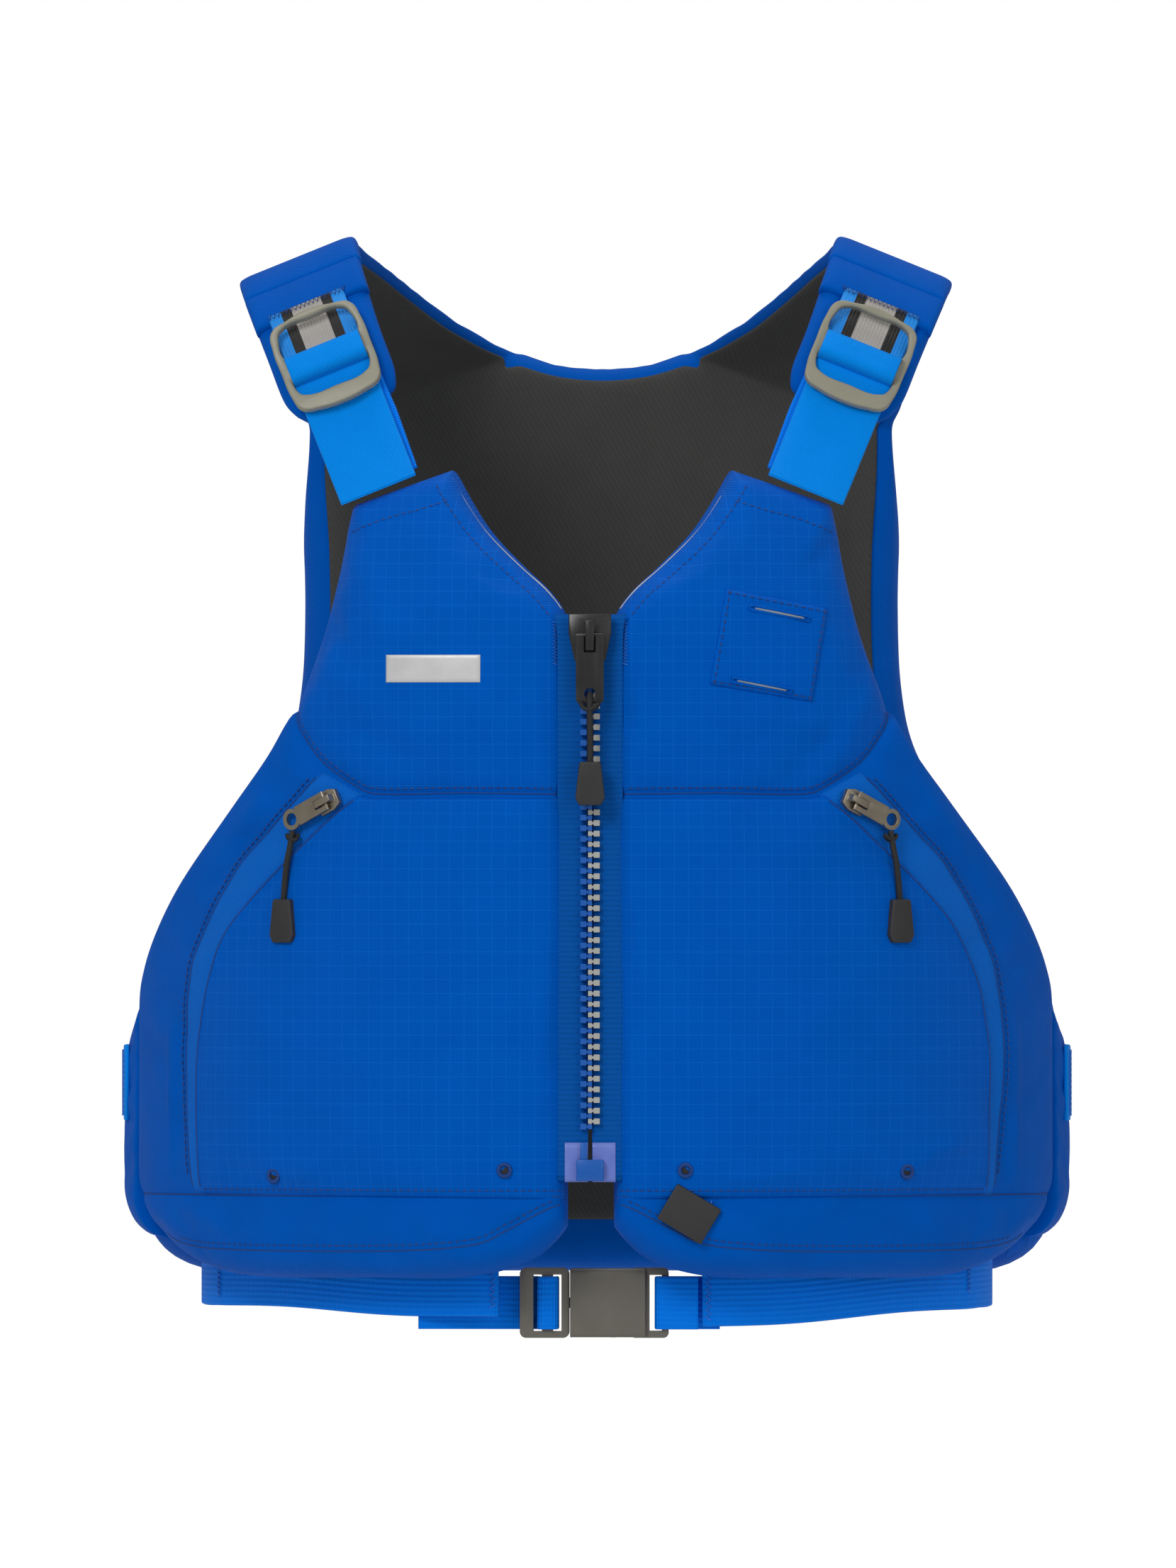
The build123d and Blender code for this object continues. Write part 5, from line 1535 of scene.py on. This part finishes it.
seamRows = [
    (offsetLine(line["chestSeam"], 2.6)[3:-2], 0.0), (offsetLine(line["lowerSeam"], 2.6)[2:-4], 0.0),
    (offsetLine(tapeArc, 2.2)[2:-3], 0.7),
(line["neck"][3:-4] + [6.0, -3.0], 0.0),
]
panelTop = {"right": [(-69, -107), (-82, -111), (-97, -115), (-113, -121)],
            "left": [(69, -107), (82, -111), (97, -115), (113, -121)]}
for side, hand in sides.items():
    rows = [drape(frontSkin[side], finely(row) * [hand, 1], lift + 0.05) for row, lift in seamRows]
    rows.append(layOn(side, finely(smoothLine(panelTop[side], 30)), 0.05))
    rows += [drape(pocketSkin[side], finely(row) * [hand, 1], 0.05) for row in
             (offsetLine(pocketArc, 3.2)[2:-3], [(15, -430.5), (roundTo(181), -430.5)])]
    if side == "left":
        ring = [tuple(np.array(lash["corners"][i % 4]) * 0.93 + 0.07 * np.mean(lash["corners"], axis=0))
                for i in range(5)]
        rows += [layOn("left", finely(ring[i:i + 2]), lash["thick"] + 0.05) for i in range(4)]
    stitches = grow("seamStitches_" + side, rows, stitchRows,
                    {"Pitch": 3.4 * mm, "Length": 2.7 * mm, "Thickness": 0.8 * mm, "Thread": stuff["thread"]})
    finish(stitches, "front_" + side, "eyelet_thread")
    # a thin dark line along each seam: painted shade where the cloth turns in at the seam
    folds = [drape(tree[side], finely(row) * [hand, 1], lift) for row, tree, lift in
             ((line["chestSeam"][1:-1], frontSkin, -0.1), (line["lowerSeam"][1:-1], frontSkin, -0.1),
              (pocketArc[1:-1] - [1.6, 0], pocketSkin, 0.0), (tapeArc[1:-1], frontSkin, 0.2),
              ([(13, -433.2), (side0 - 3, -433.2)], frontSkin, 0.0))]
    seams = grow("paintedSeamShadeLines_" + side, folds, threadLines, {"Thickness": 0.42 * mm, "Thread": stuff["paintedSeamShade"]})
    finish(seams, "front_" + side, "ripstop_nylon")
    tack = zigzag((hand * 16.2, -163.5), (hand * 16.2, -184), 2.6, 0.75)
    tacks = [layOn(side, tack, 0.5)]
    if side == "left":
        tacks.append(layOn(side, zigzag((57, -436), (33, -444.5), 1.6, 0.9), 0.6))
    bars = grow("barTacks_" + side, tacks, threadLines,
                {"Thickness": 0.32 * mm, "Thread": stuff["threadLight"]})
    finish(bars, "front_" + side, "eyelet_thread")
    rows = [onArch(p[:, 0], p[:, 1], 2.7, hand) for p in
            (np.array(zigzag((-12, bandFold / 2), (20, bandFold / 2), 2.4, 1.1)),
             np.array(zigzag((-17, bandEnd - 3.0), (22, bandEnd - 3.0), 2.6, 1.1)))]
    ridge = grow("ridgeStitches_" + side, rows, threadLines,
                 {"Thickness": 0.35 * mm, "Thread": stuff["thread"]})
    finish(ridge, None, "eyelet_thread")
    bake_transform(ridge)


# dark lines along the back's seams: painted shade where the cloth turns in at each seam
backSeams = [np.stack([np.linspace(-1, 1, 120) * reach + halfRound, 0 * np.linspace(-1, 1, 120) + level], -1)
             for reach, level in ((140.0, -92.0), (200.0, -432.0))]
backSkin = BVHTree.FromObject(back, bpy.context.evaluated_depsgraph_get())
backSeamShadeTubes = grow("backSeams", [drape(backSkin, row, 0.0, False) for row in backSeams], threadLines,
                 {"Thickness": 0.45 * mm, "Thread": stuff["paintedSeamShade"]})
finish(backSeamShadeTubes, "back", "ripstop_nylon")
piping = 0.7
for side, hand in sides.items():
    edge = np.array(line["neck"])[2:-3] + [1.2, 0]
    path, _ = skinAt(hand * edge[:, 0], edge[:, 1], 10.5)
    cordEdge = tube("neckPiping_" + side, path, piping)
    finish(cordEdge, "front_" + side, "eyelet_thread", "threadGrey")


def beltPoint(hand, x, z, lift=0.0):
    return skinAt(np.array([hand * roundTo(x * longRadius / (longRadius - beltShape["inset"]))]), np.array([z]),
                  beltShape["inset"] - lift, False)[0][0]


beltRows = []
for hand, x, low, high in ((-1, 179.0, -482, -459), (-1, 46.5, -486, -456), (1, 177.0, -480, -458),
                           (1, 54.5, -492, -460)):
    beltRows.append([beltPoint(hand, x + 1.2 * (-1) ** i, low + (high - low) * i / 20, 1.3) for i in range(21)])
for hand in (-1, 1):
    for s in (torso["frontEdge"] + 17, torso["frontEdge"] + 21):
        p = skinAt(np.array([hand * (s + 1.1 * (-1) ** i) for i in range(24)]),
                   -396.5 + 31.0 * np.arange(24) / 23,
                   -3.6, False)[0]
        beltRows.append(p)
beltThread = grow("beltStitches", beltRows, threadLines,
                  {"Thickness": 0.34 * mm, "Thread": stuff["threadLight"]})
finish(beltThread, "back", "eyelet_thread")
print("stitches made")


# Light.
world = bpy.data.worlds.new("studio")
bpy.context.scene.world = world
world.use_nodes = True
backdrop = world.node_tree.nodes["Background"]
backdrop.inputs["Color"].default_value = (1, 1, 1, 1)
seen = addNode(world.node_tree, "ShaderNodeLightPath")
level = addNode(world.node_tree, "ShaderNodeMapRange", None,
                {"Value": seen.outputs["Is Camera Ray"], "To Min": 0.36, "To Max": 1.0})
world.node_tree.links.new(level.outputs[0], backdrop.inputs["Strength"])
lamps = {
    "keyLight": {"at": (-1.3, -2.6, 1.5), "size": 1.1, "power": 40},
    "fillLight": {"at": (1.8, -2.2, 0.5), "size": 1.6, "power": 11},
    "topLight": {"at": (0.1, 0.2, 2.2), "size": 1.2, "power": 13},
}
for name, lamp in lamps.items():
    data = bpy.data.lights.new(name, "AREA")
    data.size = lamp["size"]
    data.energy = lamp["power"]
    light = bpy.data.objects.new(name, data)
    light.location = lamp["at"]
    light.rotation_euler = (Vector((0, 0, -0.24)) - Vector(lamp["at"])).to_track_quat("-Z", "Y").to_euler()
    bpy.context.scene.collection.objects.link(light)
floorMesh = bpy.data.meshes.new("floor")
floorShape = bmesh.new()
bmesh.ops.create_circle(floorShape, cap_ends=True, segments=96, radius=1.1)
floorShape.to_mesh(floorMesh)
floorMesh.transform(Matrix.Translation((0, 0, -0.72)))
floor = bpy.data.objects.new("floor", floorMesh)
bpy.context.scene.collection.objects.link(floor)
floor.data.materials.append(moulded("paleFloor",
                                    {"colour": "#f2f2f0", "worn": "#f6f6f5", "grain": 2.0, "rough": 0.7,
                                                  "bump": 0.02}))
